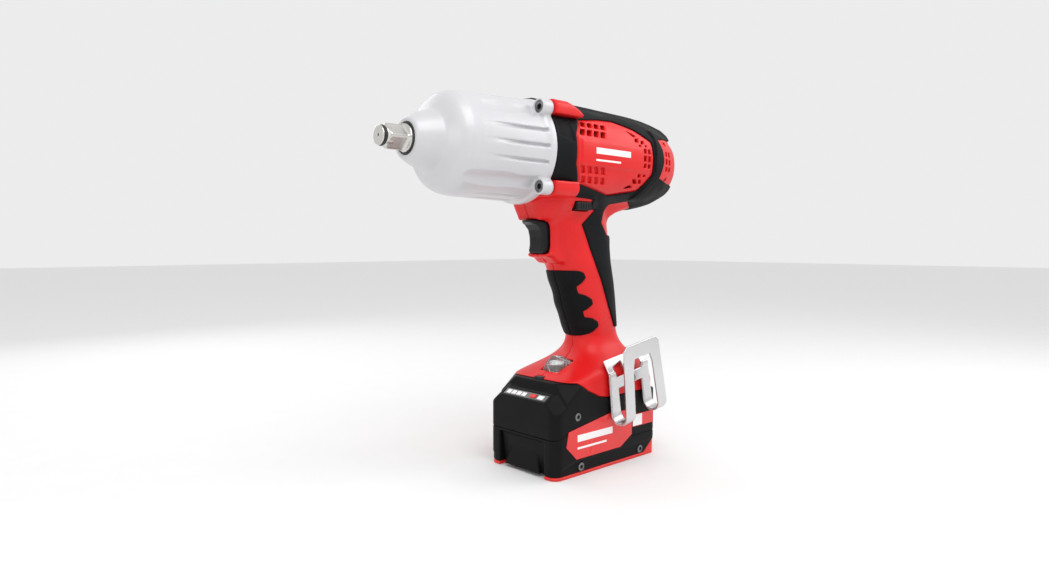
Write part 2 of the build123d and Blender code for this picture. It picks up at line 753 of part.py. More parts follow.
def terminal_block():
    """Tool side of the battery contact: block and four blades."""
    block = box(-53.8, -47.5, -19.5, 19.5, 60.0, 66.4)
    blades = [box(-48.0, -36.0, y - 0.35, y + 0.35, 60.8, 65.6) for y in BLADE_Y]
    return plus(block, blades)


# ---------------------------------------------------------------- belt hook
HOOK_T = 1.8
HOOK_IN_Y, HOOK_OUT_Y = 38.6, 53.4
HOOK_HALF, HOOK_LEG = 25.5, 11.0
HOOK_LOW, HOOK_BAR = -31.0, 4.6


def hook_plate(points, y0):
    return side_prism(points, y0, y0 + HOOK_T)


def belt_hook():
    """Bent steel strip: two legs against the foot, U-bends below, and a double arm outside."""
    h, w, low, bar = HOOK_HALF, HOOK_LEG, HOOK_LOW, HOOK_BAR
    bend_r = (HOOK_OUT_Y + HOOK_T - HOOK_IN_Y) / 2
    mid_y = HOOK_IN_Y + bend_r
    bend_z = low + bend_r
    legs = [hook_plate([(-h, bend_z), (-h + w, bend_z), (-h + w, 7), (-h + 2, 7)], HOOK_IN_Y)]
    legs.append(hook_plate([(h, bend_z), (h - w, bend_z), (h - w, 7), (h - 2, 7)], HOOK_IN_Y))
    half_bar = h - w + 1
    corners = [(-half_bar, -bar), (half_bar, -bar), (half_bar, bar), (-half_bar, bar)]
    cross = hook_plate(corners, HOOK_IN_Y)
    inner = plus(cross, legs)
    # upper frame, leaning in over the foot's flare
    frame = hook_plate([(-h + 2, -1), (h - 2, -1), (h - 5, 13), (-h + 5, 13)], 0)
    frame = frame - hook_plate([(-h + 8.5, -2), (-2.8, -2), (-2.8, 8), (-h + 10, 8)], 0)
    frame = frame - hook_plate([(h - 8.5, -2), (2.8, -2), (2.8, 8), (h - 10, 8)], 0)
    frame = Pos(0, HOOK_IN_Y, 6.6) * Rot(33, 0, 0) * frame
    bends = []
    for side in (-1, 1):
        x = side * (h - w / 2)
        tube = Pos(x, mid_y, bend_z) * Rot(0, 90, 0) * Cylinder(bend_r, w)
        tube = tube - Pos(x, mid_y, bend_z) * Rot(0, 90, 0) * Cylinder(bend_r - HOOK_T, w + 2)
        bends.append(tube & box(-60, 60, 0, 90, -90, bend_z))
    arm = [(-h, bend_z), (-h + w, bend_z), (-h + w + 3, 20), (h - w - 3, 20), (h - w, bend_z),
           (h, bend_z), (h - 5, 29), (-h + 5, 29)]
    outer = hook_plate(arm, HOOK_OUT_Y)
    shape = plus(inner + frame + outer, bends)
    shape = shape - Pos(0, 45, 0) * Rot(90, 0, 0) * Cylinder(2.3, 30)
    return Pos(HOOK_X, 0, HOOK_Z) * Rot(0, HOOK_LEAN, 0) * shape


def hook_screw():
    """Screw that holds the belt hook to the foot."""
    head = cyl_y(HOOK_X, HOOK_Z, HOOK_IN_Y + HOOK_T + 0.05, HOOK_IN_Y + HOOK_T + 2.3, 3.8)
    shank = cyl_y(HOOK_X, HOOK_Z, 29.0, HOOK_IN_Y + HOOK_T + 1, 1.62)
    drive = Pos(HOOK_X, HOOK_IN_Y + HOOK_T + 2.4, HOOK_Z) * Rot(90, 0, 0) * extrude(
        RegularPolygon(1.8, 6), 1.4, both=True
    )
    return head + shank - drive


# ---------------------------------------------------------------- battery
HALF_L, HALF_W = PACK_L / 2, PACK_W / 2
PARTING = [(-90, 19.3), (-27.0, 19.3), (-8.0, 31.5), (46.0, 34.8), (56.0, 31.0), (90, 31.0)]
BASE_T = 3.0


def pack_body():
    """Outer shape of the whole battery pack, without rails."""
    block = rounded_box(-HALF_L, HALF_L, -HALF_W, HALF_W, 0.0, RIM_TOP, PACK_R)
    under = SEAM + [(HALF_L + 5, RIM_TOP), (HALF_L + 5, -5), (-HALF_L - 5, -5), (-HALF_L - 5, PACK_TOP)]
    block = block & side_prism(under, -60, 60)
    # slope that carries the display, and the vertical rim behind it
    slope = [(47.5, 80), (47.5, 62.5), (50.5, 61.8), (HALF_L + 0.1, 56.6), (90, 50), (90, 80)]
    block = block - side_prism(slope, -60, 60)
    # chamfer beside the display
    for side in (1, -1):
        face = [(26.0, 56.6), (37.6, 47.4), (70, 30), (70, 90), (26.0, 90)]
        cut = extrude(
            Plane(origin=(42, 0, 0), x_dir=(0, 1, 0), z_dir=(1, 0, 0))
            * make_face(Polyline(*[(side * y, z) for y, z in face], close=True)),
            30,
        )
        block = block - (cut & side_prism([(38, 63.5), (46, 72), (90, 72), (90, 30), (56, 44)], -60, 60))
    return block


def lower_region():
    return side_prism(PARTING + [(90, -10), (-90, -10)], -60, 60)


def base_region():
    """Base plate with the raised rear corners."""
    rear = [(-90, 40), (-HALF_L, 15.5), (-44.0, BASE_T)]
    return side_prism([*rear, (90, BASE_T), (90, -5), (-90, -5)], -60, 60)


def front_recess():
    """Finger recess in the front of the pack, with the hole for the paddle's pusher."""
    return box(RECESS_X, 80, -25.0, 25.0, -1, 28.0) + box(44, 51, -3.4, 3.4, 17.6, 22.4)


def pack_cavity():
    return rounded_box(-HALF_L + 2.4, 46.0, -HALF_W + 2.4, HALF_W - 2.4, 4.6, PACK_TOP - 2.4, 1.5)


def battery_base():
    base = pack_body() & base_region()
    base = base - box(-HALF_L + 2.4, 46.0, -HALF_W + 2.4, HALF_W - 2.4, BASE_T, 60)
    return minus(base - front_recess(), pack_screw_holes(1.9))


def battery_lower_case():
    shape = (pack_body() & lower_region()) - base_region() - pack_cavity() - front_recess()
    shape = shape - latch_well()
    return minus(shape, pack_screw_holes(1.9))


def latch_well():
    """Space inside the front of the pack for the latch and its spring."""
    slot = box(LATCH_X[0] - 0.4, LATCH_X[1] + 0.4, -LATCH_HALF - 0.4, LATCH_HALF + 0.4, 50, 80)
    return box(36.4, 45.5, -10.3, 10.3, 4.6, 66) + slot


def battery_upper_case():
    shape = pack_body() - lower_region() - pack_cavity() - front_recess()
    shape = shape - box(-HALF_L - 1, HALF_L - 60, -HALF_W - 1, HALF_W + 1, PACK_TOP, 80)
    neck = box(-46.4, 20.0, -RAIL_NECK, RAIL_NECK, PACK_TOP - 2, 61.0)
    head = box(-46.4, 12.0, -RAIL_HEAD, RAIL_HEAD, 60.6, 66.0)
    shape = shape + neck + head
    slots = [box(-47.0, -34.0, y - 1.0, y + 1.0, 60.3, 67.0) for y in BLADE_Y]
    shape = minus(shape, slots) - latch_well()
    shape = shape - display_well()
    return minus(shape, pack_screw_holes(1.9))


def on_slope(shape):
    """Moves a shape drawn about the origin onto the display slope."""
    return Pos(55.4, 0, 59.2) * Rot(0, 27.5, 0) * shape


def display_well():
    return on_slope(Pos(0, 0, 0.5) * Box(6.6, 46.6, 2.2))


def charge_display():
    """Panel with the charge bars, with a hole for its button."""
    panel = Pos(0, 0, -0.05) * Box(6.2, 46.2, 0.9)
    return on_slope(panel - Pos(0, 8.5, 0) * Box(4.4, 7.4, 3))


def charge_button():
    return on_slope(Pos(0, 8.5, 0.55) * Box(4.0, 7.0, 1.3))


CELL_ROWS_Z = (14.6, 33.6)
FIRST_CELL_X = -48.7


def cell_places():
    return [(FIRST_CELL_X + CELL_PITCH * k, z) for z in CELL_ROWS_Z for k in range(5)]


def battery_cells():
    return group([cyl_y(x, z, -CELL_L / 2, CELL_L / 2, CELL_R) for x, z in cell_places()])


def cell_holders():
    """Two plates that space the cells."""
    plate = box(-57.9, 36.1, 20.0, 24.0, 4.9, 43.8)
    holes = [cyl_y(x, z, 0, 60, CELL_R + 0.15) for x, z in cell_places()]
    plate = minus(plate, holes)
    return group([plate, mirrored(plate)])


def cell_straps():
    """Welded strips that join the cells at both ends."""
    straps = []
    for side in (1, -1):
        for k in range(5):
            x = FIRST_CELL_X + CELL_PITCH * k
            y0, y1 = sorted((side * (CELL_L / 2 + 0.1), side * (CELL_L / 2 + 0.4)))
            straps.append(box(x - 4, x + 4, y0, y1, 9.0, 39.0))
    return group(straps)


def battery_board():
    return box(-52.0, 30.0, -24.0, 24.0, 46.0, 47.6)


def battery_contacts():
    """Spring strips inside the pack that the tool's blades enter."""
    strips = []
    for y in BLADE_Y:
        for side in (1, -1):
            y0, y1 = sorted((y + side * 0.68, y + side * 0.96))
            strips.append(box(-43.0, -35.0, y0, y1, 60.6, 65.4))
    return group(strips)


# pack screws on each side: x, z
PACK_SCREWS = [(36.0, 45.0), (32.3, 6.6), (-38.3, 6.6), (-46.0, 44.0)]


def pack_screw_holes(r):
    holes = []
    for x, z in PACK_SCREWS:
        holes.append(cyl_y(x, z, HALF_W - 2.0, HALF_W + 2, 3.3))
        holes.append(cyl_y(x, z, HALF_W - 9.0, HALF_W + 2, r))
    return holes + [mirrored(h) for h in holes]


def battery_screws():
    screws = []
    for x, z in PACK_SCREWS:
        head = cyl_y(x, z, HALF_W - 1.9, HALF_W - 0.1, 3.1)
        shank = cyl_y(x, z, HALF_W - 4.4, HALF_W - 1.8, 1.75)
        drive = Pos(x, HALF_W, z) * Rot(90, 0, 0) * extrude(RegularPolygon(1.6, 6), 1.2, both=True)
        screws.append(head + shank - drive)
    return group(screws + [mirrored(s) for s in screws])


LABEL = [(46.5, 35.2), (49.0, 24.0), (38.0, 13.2), (-13.0, 13.2), (-27.0, 21.0), (-27.0, 41.5), (0.0, 42.4)]
REAR_LABEL = [(-28.0, 26.5), (-55.0, 26.5), (-55.0, 36.5), (-28.0, 36.5)]


def battery_labels():
    """Printed panels stuck on both sides of the pack."""
    labels = [side_prism(p, HALF_W + 0.02, HALF_W + 0.32) for p in (LABEL, REAR_LABEL)]
    return group(labels + [mirrored(x) for x in labels])


RECESS_X = 50.0
LATCH_X, LATCH_HALF, LATCH_TOP = (38.0, 42.2), 4.2, 71.3


def release_button():
    """Paddle in the front recess, with the pusher that draws the latch down."""
    paddle = side_prism([(53.0, 2.0), (55.6, 2.0), (59.4, 17.0), (59.4, 27.4), (53.0, 27.4)], -24.4, 24.4)
    return paddle + box(43.0, 53.5, -3.0, 3.0, 18.0, 22.0)


def battery_latch():
    """Bolt that rises into the foot; its window takes the paddle's pusher."""
    bolt = box(*LATCH_X, -LATCH_HALF, LATCH_HALF, 60.0, LATCH_TOP)
    stem = box(*LATCH_X, -8.8, 8.8, 12.5, 61.0)
    window = box(LATCH_X[0] + 1.4, 50, -3.5, 3.5, 16.5, 26.5)
    return bolt + stem - window


def latch_spring():
    """Coil spring under the latch bolt."""
    wire, length = 0.5, 7.6
    path = Helix(pitch=(length - 2 * wire) / 3.5, height=length - 2 * wire, radius=2.0)
    coil = sweep(Plane(origin=path @ 0, z_dir=path % 0) * Circle(wire), path=path)
    return Pos((LATCH_X[0] + LATCH_X[1]) / 2, 0, 4.75 + wire) * coil


# ---------------------------------------------------------------- output
def pieces():
    outer = body()
    left_half = housing_left(outer)
    soft = soft_cover_left(outer)
    pad = grip_pad_left()
    made = {
        "housing_left": left_half,
        "housing_right": housing_right(left_half),
        "soft_cover_left": soft,
        "soft_cover_right": mirrored(soft),
        "grip_pad_left": pad,
        "grip_pad_right": mirrored(pad),
        "housing_screws": housing_screws(),
        "hammer_case": hammer_case(),
        "case_screws": case_screws(),
        "anvil_bushing": anvil_bushing(),
        "front_seal": front_seal(),
        "anvil": anvil(),
        "friction_ring": friction_ring(),
        "ring_cushion": ring_cushion(),
        "hammer": hammer(),
        "cam_balls": cam_balls(),
        "hammer_spring": hammer_spring(),
        "spring_washer": spring_washer(),
        "spindle": spindle(),
        "planet_pins": planet_pins(),
        "ring_gear": ring_gear(),
        "gear_cover": gear_cover(),
        "case_seal_ring": case_seal_ring(),
        "spindle_bearing": bearing(67.6, 73.4, 10.05, 17.05, 10),
        "motor_pinion": motor_pinion(),
        "rotor_shaft": rotor_shaft(),
        "rotor_core": rotor_core(),
        "rotor_windings": rotor_windings(),
        "commutator": commutator(),
        "cooling_fan": cooling_fan(),
        "motor_bearings": group([bearing(52.1, 57.9, 2.56, 8.0, 7), bearing(-55.9, -50.1, 2.56, 8.0, 7)]),
        "stator_can": stator_can(),
        "stator_magnets": stator_magnets(),
        "brush_plate": brush_plate(),
        "brushes": brushes(),
        "brush_springs": brush_springs(),
        "trigger": trigger(),
        "switch_module": switch_module(),
        "direction_selector": direction_selector(),
        "led_lens": led_lens(),
        "led_board": led_board(),
        "control_board": control_board(),
        "terminal_block": terminal_block(),
        "belt_hook": belt_hook(),
        "hook_screw": hook_screw(),
        "battery_base": battery_base(),
        "battery_lower_case": battery_lower_case(),
        "battery_upper_case": battery_upper_case(),
        "charge_display": charge_display(),
        "charge_button": charge_button(),
        "battery_cells": battery_cells(),
        "cell_holders": cell_holders(),
        "cell_straps": cell_straps(),
        "battery_board": battery_board(),
        "battery_contacts": battery_contacts(),
        "latch_spring": latch_spring(),
        "battery_screws": battery_screws(),
        "battery_labels": battery_labels(),
        "release_button": release_button(),
        "battery_latch": battery_latch(),
    }
    for k in range(PLANETS):
        made[f"planet_gear_{k + 1}"] = planet_gear(k)
    return made


def main():
    os.makedirs("parts", exist_ok=True)
    for name, shape in pieces().items():
        export_step(shape, f"parts/{name}.step")


main()
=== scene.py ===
"""Looks of a cordless impact wrench, built round its CAD frame.

Shapes are distance fields in millimetres in the row's frame, sampled on grids and meshed, so that moulded
edges come out rounded. Meshes are in metres. Most fields are even in Y, so one half is worked out and
mirrored.
"""

import json
import math

import bmesh
import bpy
import numpy as np
import openvdb
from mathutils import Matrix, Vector


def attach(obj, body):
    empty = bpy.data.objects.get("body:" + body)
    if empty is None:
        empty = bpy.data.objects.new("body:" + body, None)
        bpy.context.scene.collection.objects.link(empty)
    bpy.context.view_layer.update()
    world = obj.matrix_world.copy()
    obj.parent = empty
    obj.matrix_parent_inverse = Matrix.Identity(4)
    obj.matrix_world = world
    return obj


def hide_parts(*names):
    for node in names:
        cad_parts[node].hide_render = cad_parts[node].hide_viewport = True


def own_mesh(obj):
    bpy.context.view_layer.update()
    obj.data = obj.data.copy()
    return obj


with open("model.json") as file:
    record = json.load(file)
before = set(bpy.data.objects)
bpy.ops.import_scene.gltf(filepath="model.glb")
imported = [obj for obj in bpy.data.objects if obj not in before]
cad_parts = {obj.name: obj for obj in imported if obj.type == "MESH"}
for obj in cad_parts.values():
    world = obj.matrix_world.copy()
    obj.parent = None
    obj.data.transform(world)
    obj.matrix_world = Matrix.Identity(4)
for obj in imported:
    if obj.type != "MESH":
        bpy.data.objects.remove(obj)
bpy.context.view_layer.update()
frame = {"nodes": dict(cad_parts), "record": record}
MM = 0.001
FINE = 1.0  # voxel scale
AXIS_Z = 243.0


# ---------------------------------------------------------------- field tools
def smin(a, b, k):
    """Union with a blend of width k."""
    h = np.clip(0.5 + 0.5 * (b - a) / k, 0.0, 1.0)
    return b + (a - b) * h - k * h * (1.0 - h)


def smax(a, b, k):
    """Intersection with a rounded edge of width k."""
    return -smin(-a, -b, k)


def ramp(value, start, end):
    """0 at start and 1 at end, with soft ends."""
    t = np.clip((value - start) / (end - start), 0.0, 1.0)
    return t * t * (3.0 - 2.0 * t)


def polygon(points, u, v):
    """Signed distance to a closed outline in the u, v plane, negative inside."""
    best, inside = None, None
    count = len(points)
    for i in range(count):
        (ax, ay), (bx, by) = points[i], points[(i + 1) % count]
        ex, ey = bx - ax, by - ay
        wx, wy = u - ax, v - ay
        t = np.clip((wx * ex + wy * ey) / (ex * ex + ey * ey), 0.0, 1.0)
        d = (wx - ex * t) ** 2 + (wy - ey * t) ** 2
        best = d if best is None else np.minimum(best, d)
        crosses = ((ay > v) != (by > v)) & (u < ex * (v - ay) / (ey if ey else 1e-9) + ax)
        inside = crosses if inside is None else inside ^ crosses
    return np.where(inside, -1.0, 1.0) * np.sqrt(best)


def slab(value, low, high):
    return np.maximum(low - value, value - high)


def station(s, table, column, soft):
    """Column of a table of stations at s, an evenly spaced array, smoothed over soft millimetres."""
    flat = s.ravel()
    step = flat[1] - flat[0]
    keys = [row[0] for row in table]
    order = np.argsort(keys)
    reach = int(3 * soft / step) + 1
    padded = np.concatenate(
        [flat[0] + step * np.arange(-reach, 0), flat, flat[-1] + step * np.arange(1, reach + 1)]
    )
    values = np.interp(padded, np.array(keys)[order], np.array([row[column] for row in table])[order])
    weights = np.exp(-0.5 * (np.arange(-reach, reach + 1) * step / soft) ** 2)
    return np.convolve(values, weights / weights.sum(), "valid").reshape(s.shape)


def superellipse(u, v, a, b, power):
    """Near distance to a superellipse of half-axes a and b."""
    u, v = np.abs(u) / a + 1e-6, np.abs(v) / b + 1e-6
    total = u**power + v**power
    slope = total ** (1 / power - 1) * np.sqrt((u ** (power - 1) / a) ** 2 + (v ** (power - 1) / b) ** 2)
    return (total ** (1 / power) - 1.0) / slope


class Grid:
    """Evenly spaced sample points between two corners; mirrored grids cover Y from just below 0."""

    def __init__(self, low, high, voxel):
        self.voxel = voxel * FINE
        self.low = np.array(low, dtype=float)
        count = np.ceil((np.array(high) - self.low) / self.voxel).astype(int) + 1
        axes = [self.low[i] + self.voxel * np.arange(count[i]) for i in range(3)]
        self.x = axes[0].astype(np.float32)[:, None, None]
        self.y = axes[1].astype(np.float32)[None, :, None]
        self.z = axes[2].astype(np.float32)[None, None, :]

    def surface(self, values):
        """Vertices and faces of the zero surface, closed at the grid's border."""
        values = np.array(np.broadcast_to(values, (self.x.size, self.y.size, self.z.size)), dtype=np.float32)
        edge = 2 * self.voxel
        values = np.clip(values, -edge, edge)
        for axis in range(3):
            for end in (0, -1):
                where = [slice(None)] * 3
                where[axis] = end
                values[tuple(where)] = np.maximum(values[tuple(where)], 0.5 * self.voxel)
        grid = openvdb.FloatGrid(edge)
        grid.copyFromArray(values)
        points, quads = grid.convertToQuads(0.0)
        return points * self.voxel + self.low, quads


def mesh_object(name, points, faces, smooth=True):
    mesh = bpy.data.meshes.new(name)
    mesh.from_pydata((np.asarray(points) * MM).tolist(), [], [tuple(f) for f in np.asarray(faces).tolist()])
    mesh.validate()
    mesh.update()
    if smooth:
        mesh.polygons.foreach_set("use_smooth", [True] * len(mesh.polygons))
    obj = bpy.data.objects.new(name, mesh)
    bpy.context.scene.collection.objects.link(obj)
    return obj


def outward(obj):
    bm = bmesh.new()
    bm.from_mesh(obj.data)
    bmesh.ops.recalc_face_normals(bm, faces=bm.faces)
    bm.to_mesh(obj.data)
    bm.free()


def settle(obj, passes=2):
    """Relaxes the sampling ripple out of a mesh."""
    mod = obj.modifiers.new("relax", "SMOOTH")
    mod.factor, mod.iterations = 0.5, passes
    deps = bpy.context.evaluated_depsgraph_get()
    done = bpy.data.meshes.new_from_object(obj.evaluated_get(deps))
    obj.modifiers.clear()
    old = obj.data
    obj.data = done
    bpy.data.meshes.remove(old)


def piece(name, grid, values, body, nodes=(), mat=None, relax=2, flip=False):
    """Meshes a field as a piece that rides on body; flip puts it on the other side of Y = 0."""
    points, quads = grid.surface(values)
    if flip:
        points = points * (1, -1, 1)
    obj = mesh_object(name, points, quads)
    outward(obj)
    settle(obj, relax)
    return dress(obj, body, nodes, mat)


def halves(name, grid, values, holes, nodes, mat, relax=2):
    """Left half from a field, and the mirrored right half with screw recesses."""
    for side, field in (("left", values), ("right", smax(values, -holes, 0.4))):
        replaced = [f"{node}_{side}" for node in nodes]
        piece(f"{name}_{side}", grid, field, "housing", replaced, mat, relax, side == "right")


def dress(obj, body, nodes, mat):
    if mat:
        obj.data.materials.clear()
        obj.data.materials.append(mat)
    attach(obj, body)
    if nodes:
        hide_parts(*nodes)
    return obj


# ---------------------------------------------------------------- materials
def material(name, color, rough, metallic=0.0, grain=0.04, scale=900.0, vary=0.06, wear=0.15, wear_color=None,
             streak=None, alpha=None, coat=0.0, gloss=0.5, marks=()):
    """Procedural surface: colour and roughness drift, bump grain, brushed streaks, worn edges and
    printed marks.
    """
    mat = bpy.data.materials.new(name)
    mat.use_nodes = True
    nodes, links = mat.node_tree.nodes, mat.node_tree.links
    shader = nodes["Principled BSDF"]
    place = nodes.new("ShaderNodeTexCoord").outputs["Object"]

    def noise(size, detail=3.0, stretch=None):
        source = place
        if stretch:
            mapping = nodes.new("ShaderNodeMapping")
            mapping.inputs["Scale"].default_value = stretch
            links.new(place, mapping.inputs["Vector"])
            source = mapping.outputs["Vector"]
        tex = nodes.new("ShaderNodeTexNoise")
        tex.inputs["Scale"].default_value = size
        tex.inputs["Detail"].default_value = detail
        links.new(source, tex.inputs["Vector"])
        return tex.outputs["Fac"]

    def mix(fac, a, b):
        node = nodes.new("ShaderNodeMix")
        node.data_type = "RGBA"
        links.new(fac, node.inputs["Factor"])
        for value, socket in ((a, node.inputs["A"]), (b, node.inputs["B"])):
            if isinstance(value, tuple):
                socket.default_value = (*value, 1.0)
            else:
                links.new(value, socket)
        return node.outputs["Result"]

    def spread(fac, low, high, out_low, out_high):
        node = nodes.new("ShaderNodeMapRange")
        for key, value in (("From Min", low), ("From Max", high), ("To Min", out_low), ("To Max", out_high)):
            node.inputs[key].default_value = value
        links.new(fac, node.inputs["Value"])
        return node.outputs["Result"]

    dark = tuple(c * (1 - vary) for c in color)
    light = tuple(min(1.0, c * (1 + vary)) for c in color)
    base = mix(spread(noise(35.0), 0.35, 0.65, 0.0, 1.0), dark, light)
    if wear:
        edge = nodes.new("ShaderNodeNewGeometry").outputs["Pointiness"]
        worn = nodes.new("ShaderNodeMath")
        worn.operation = "MULTIPLY"
        links.new(spread(edge, 0.53, 0.60, 0.0, wear), worn.inputs[0])
        links.new(spread(noise(160.0), 0.4, 0.6, 0.2, 1.0), worn.inputs[1])
        base = mix(worn.outputs[0], base, wear_color or light)
    for axis, spots, tint in marks:
        base = mix(mark_mask(nodes, links, place, axis, spots), base, tint)
    links.new(base, shader.inputs["Base Color"])
    links.new(spread(noise(60.0, 4.0), 0.3, 0.7, rough * 0.88, min(1.0, rough * 1.12)),
        shader.inputs["Roughness"])
    if grain:
        bump = nodes.new("ShaderNodeBump")
        bump.inputs["Strength"].default_value = grain
        bump.inputs["Distance"].default_value = 0.0003
        links.new(noise(scale, 2.0, streak), bump.inputs["Height"])
        links.new(bump.outputs["Normal"], shader.inputs["Normal"])
    shader.inputs["Metallic"].default_value = metallic
    shader.inputs["Coat Weight"].default_value = coat
    shader.inputs["Coat Roughness"].default_value = 0.12
    shader.inputs["Specular IOR Level"].default_value = gloss
    if alpha is not None:
        shader.inputs["Transmission Weight"].default_value = 1.0 - alpha
        shader.inputs["IOR"].default_value = 1.45
    return mat


def mark_mask(nodes, links, place, axis, spots):
    """1 inside any of the rectangles (x0, x1, z0, z1), in millimetres, on the side where Y times axis
    is positive.
    """
    split = nodes.new("ShaderNodeSeparateXYZ")
    links.new(place, split.inputs[0])

    def calc(op, a, b):
        node = nodes.new("ShaderNodeMath")
        node.operation = op
        for socket, value in zip(node.inputs, (a, b)):
            if isinstance(value, float):
                socket.default_value = value
            else:
                links.new(value, socket)
        return node.outputs[0]

    total = None
    for u0, u1, z0, z1 in spots:
        across = calc("ABSOLUTE", calc("SUBTRACT", split.outputs["X"], (u0 + u1) / 2 * MM), 0.0)
        up = calc("ABSOLUTE", calc("SUBTRACT", split.outputs["Z"], (z0 + z1) / 2 * MM), 0.0)
        hit = calc("MULTIPLY", calc("LESS_THAN", across, abs(u1 - u0) / 2 * MM),
            calc("LESS_THAN", up, abs(z1 - z0) / 2 * MM))
        total = hit if total is None else calc("MAXIMUM", total, hit)
    side = calc("GREATER_THAN", calc("MULTIPLY", split.outputs["Y"], float(axis)), 0.02)
    return calc("MULTIPLY", total, side)


RED = (0.70, 0.010, 0.011)
BLACK = (0.0065, 0.0070, 0.0080)
WHITE = (0.86, 0.86, 0.85)
# plain bars stand where the maker's print would be
PANEL_MARKS = [(-22.0, 19.0, 241.6, 246.2), (-10.0, 19.0, 236.2, 237.6)]
LABEL_MARKS = [(-3.0, 37.0, 26.2, 31.4), (4.0, 37.0, 20.6, 22.2)]

M = {
    "housing_red": material("red_shell", RED, 0.38, grain=0.10, scale=2600.0, vary=0.05, gloss=0.3, wear=0.25,
                            wear_color=(0.80, 0.05, 0.045), coat=0.03),
    "panel_red": material("red_panel", RED, 0.38, grain=0.10, scale=2600.0, vary=0.05, gloss=0.3, wear=0.25,
                          wear_color=(0.80, 0.05, 0.045), coat=0.03,
                          marks=[(1, PANEL_MARKS, WHITE), (-1, PANEL_MARKS, WHITE)]),
    "soft_black": material("soft_black", BLACK, 0.55, grain=0.30, scale=3200.0, vary=0.15, gloss=0.08,
                           wear=0.25, wear_color=(0.026, 0.026, 0.028)),
    "pack_black": material("pack_black", (0.0060, 0.0060, 0.0066), 0.45, grain=0.22, scale=2800.0, vary=0.15,
                           gloss=0.10, wear=0.35, wear_color=(0.035, 0.035, 0.035)),
    "inner_plastic": material("inner_plastic", (0.03, 0.03, 0.033), 0.6, grain=0.1),
    "case_white": material("case_paint", (0.59, 0.59, 0.61), 0.38, metallic=0.1, grain=0.05, scale=1800.0,
                           vary=0.02, wear=0.3, wear_color=(0.9, 0.9, 0.9), coat=0.15),
    "tool_steel": material("tool_steel", (0.60, 0.59, 0.56), 0.28, metallic=1.0, grain=0.04, scale=500.0,
                           vary=0.06, streak=(0.08, 1.0, 1.0), wear=0.4, wear_color=(0.8, 0.79, 0.77)),
    "dark_steel": material("dark_steel", (0.10, 0.10, 0.105), 0.42, metallic=0.9, grain=0.08, vary=0.12,
                           wear=0.5, wear_color=(0.45, 0.45, 0.45)),
    "bright_steel": material("bright_steel", (0.66, 0.66, 0.67), 0.30, metallic=0.95, grain=0.06, scale=700.0,
                             vary=0.03, streak=(1.0, 1.0, 0.1), wear=0.3, wear_color=(0.92, 0.92, 0.92)),
    "spring_steel": material("spring_steel", (0.36, 0.36, 0.38), 0.35, metallic=1.0, grain=0.1),
    "bronze": material("bronze", (0.50, 0.32, 0.14), 0.4, metallic=1.0, grain=0.1, vary=0.1),
    "copper": material("copper", (0.62, 0.26, 0.12), 0.35, metallic=1.0, grain=0.1, vary=0.1),
    "nitrile": material("nitrile", (0.012, 0.012, 0.012), 0.45, grain=0.1, vary=0.2),
    "magnet": material("magnet", (0.10, 0.10, 0.11), 0.6, metallic=0.4, grain=0.3, vary=0.1),
    "lamination": material("lamination", (0.30, 0.30, 0.31), 0.45, metallic=0.9, grain=0.3,
        streak=(6.0, 0.2, 0.2)),
    "carbon": material("carbon", (0.03, 0.03, 0.03), 0.7, grain=0.3, vary=0.2),
    "lens_clear": material("lens_clear", (0.93, 0.94, 0.95), 0.04, grain=0.02, vary=0.02, alpha=0.08),
    "board_green": material("board_green", (0.02, 0.16, 0.06), 0.4, grain=0.1, vary=0.15),
    "label_red": material("label_red", (0.72, 0.016, 0.016), 0.3, grain=0.03, vary=0.03, coat=0.3,
                          marks=[(1, LABEL_MARKS, WHITE), (-1, LABEL_MARKS, WHITE)]),
    "display_panel": material("display_panel", (0.03, 0.03, 0.032), 0.2, grain=0.02, vary=0.1, coat=0.4),
    "button_red": material("button_red", (0.70, 0.018, 0.016), 0.4, grain=0.1, vary=0.05),
    "cell_sleeve": material("cell_sleeve", (0.05, 0.20, 0.25), 0.35, grain=0.05, vary=0.08),
    "nickel": material("nickel", (0.62, 0.60, 0.56), 0.3, metallic=1.0, grain=0.08),
    "trigger_black": material("trigger_black", (0.007, 0.007, 0.008), 0.32, grain=0.12, scale=2400.0,
        vary=0.12,
                              gloss=0.22, wear=0.3, wear_color=(0.03, 0.03, 0.03)),
    "lamp": material("lamp", (0.9, 0.85, 0.6), 0.4, grain=0.02),
    "print_white": material("print_white", (0.85, 0.85, 0.85), 0.4, grain=0.02, vary=0.02),
}
for row in frame["record"]["subparts"]:
    node = frame["nodes"][row["node"]]
    node.data.materials.clear()
    node.data.materials.append(M["dark_steel" if row["node"] == "case_screws" else row["material_slot"]])

# ---------------------------------------------------------------- motor housing and handle
BARREL = [
    (61.0, 37.2, 38.0), (30.0, 37.3, 38.3), (0.0, 37.3, 38.3), (-30.0, 36.6, 38.0), (-50.0, 35.3, 37.2),
    (-66.0, 33.4, 35.8), (-80.0, 30.6, 33.0), (-94.0, 26.2, 28.4), (-107.0, 21.6, 22.8),
]
SPINE = [
    (61, 250), (61, 278.4), (20, 278.6), (3, 278.0), (-13, 277.1), (-30, 276.4), (-47, 276.2), (-63, 275.4),
    (-80, 274.4), (-94, 272.8), (-102, 269.4), (-106, 263.0), (-106, 250),
]
TOP_SCALE = 1.05
KEEL = [(30, 236), (30, 206), (-12, 200.2), (-30, 200.2), (-48, 204.6), (-80, 212.2), (-98, 220),
    (-104, 226), (-104, 236)]
WEB = [(-5, 176), (-26.4, 178), (-27.6, 189), (-31, 195.6), (-38, 201.5), (-50, 206.8), (-62, 214), (-5, 222)]
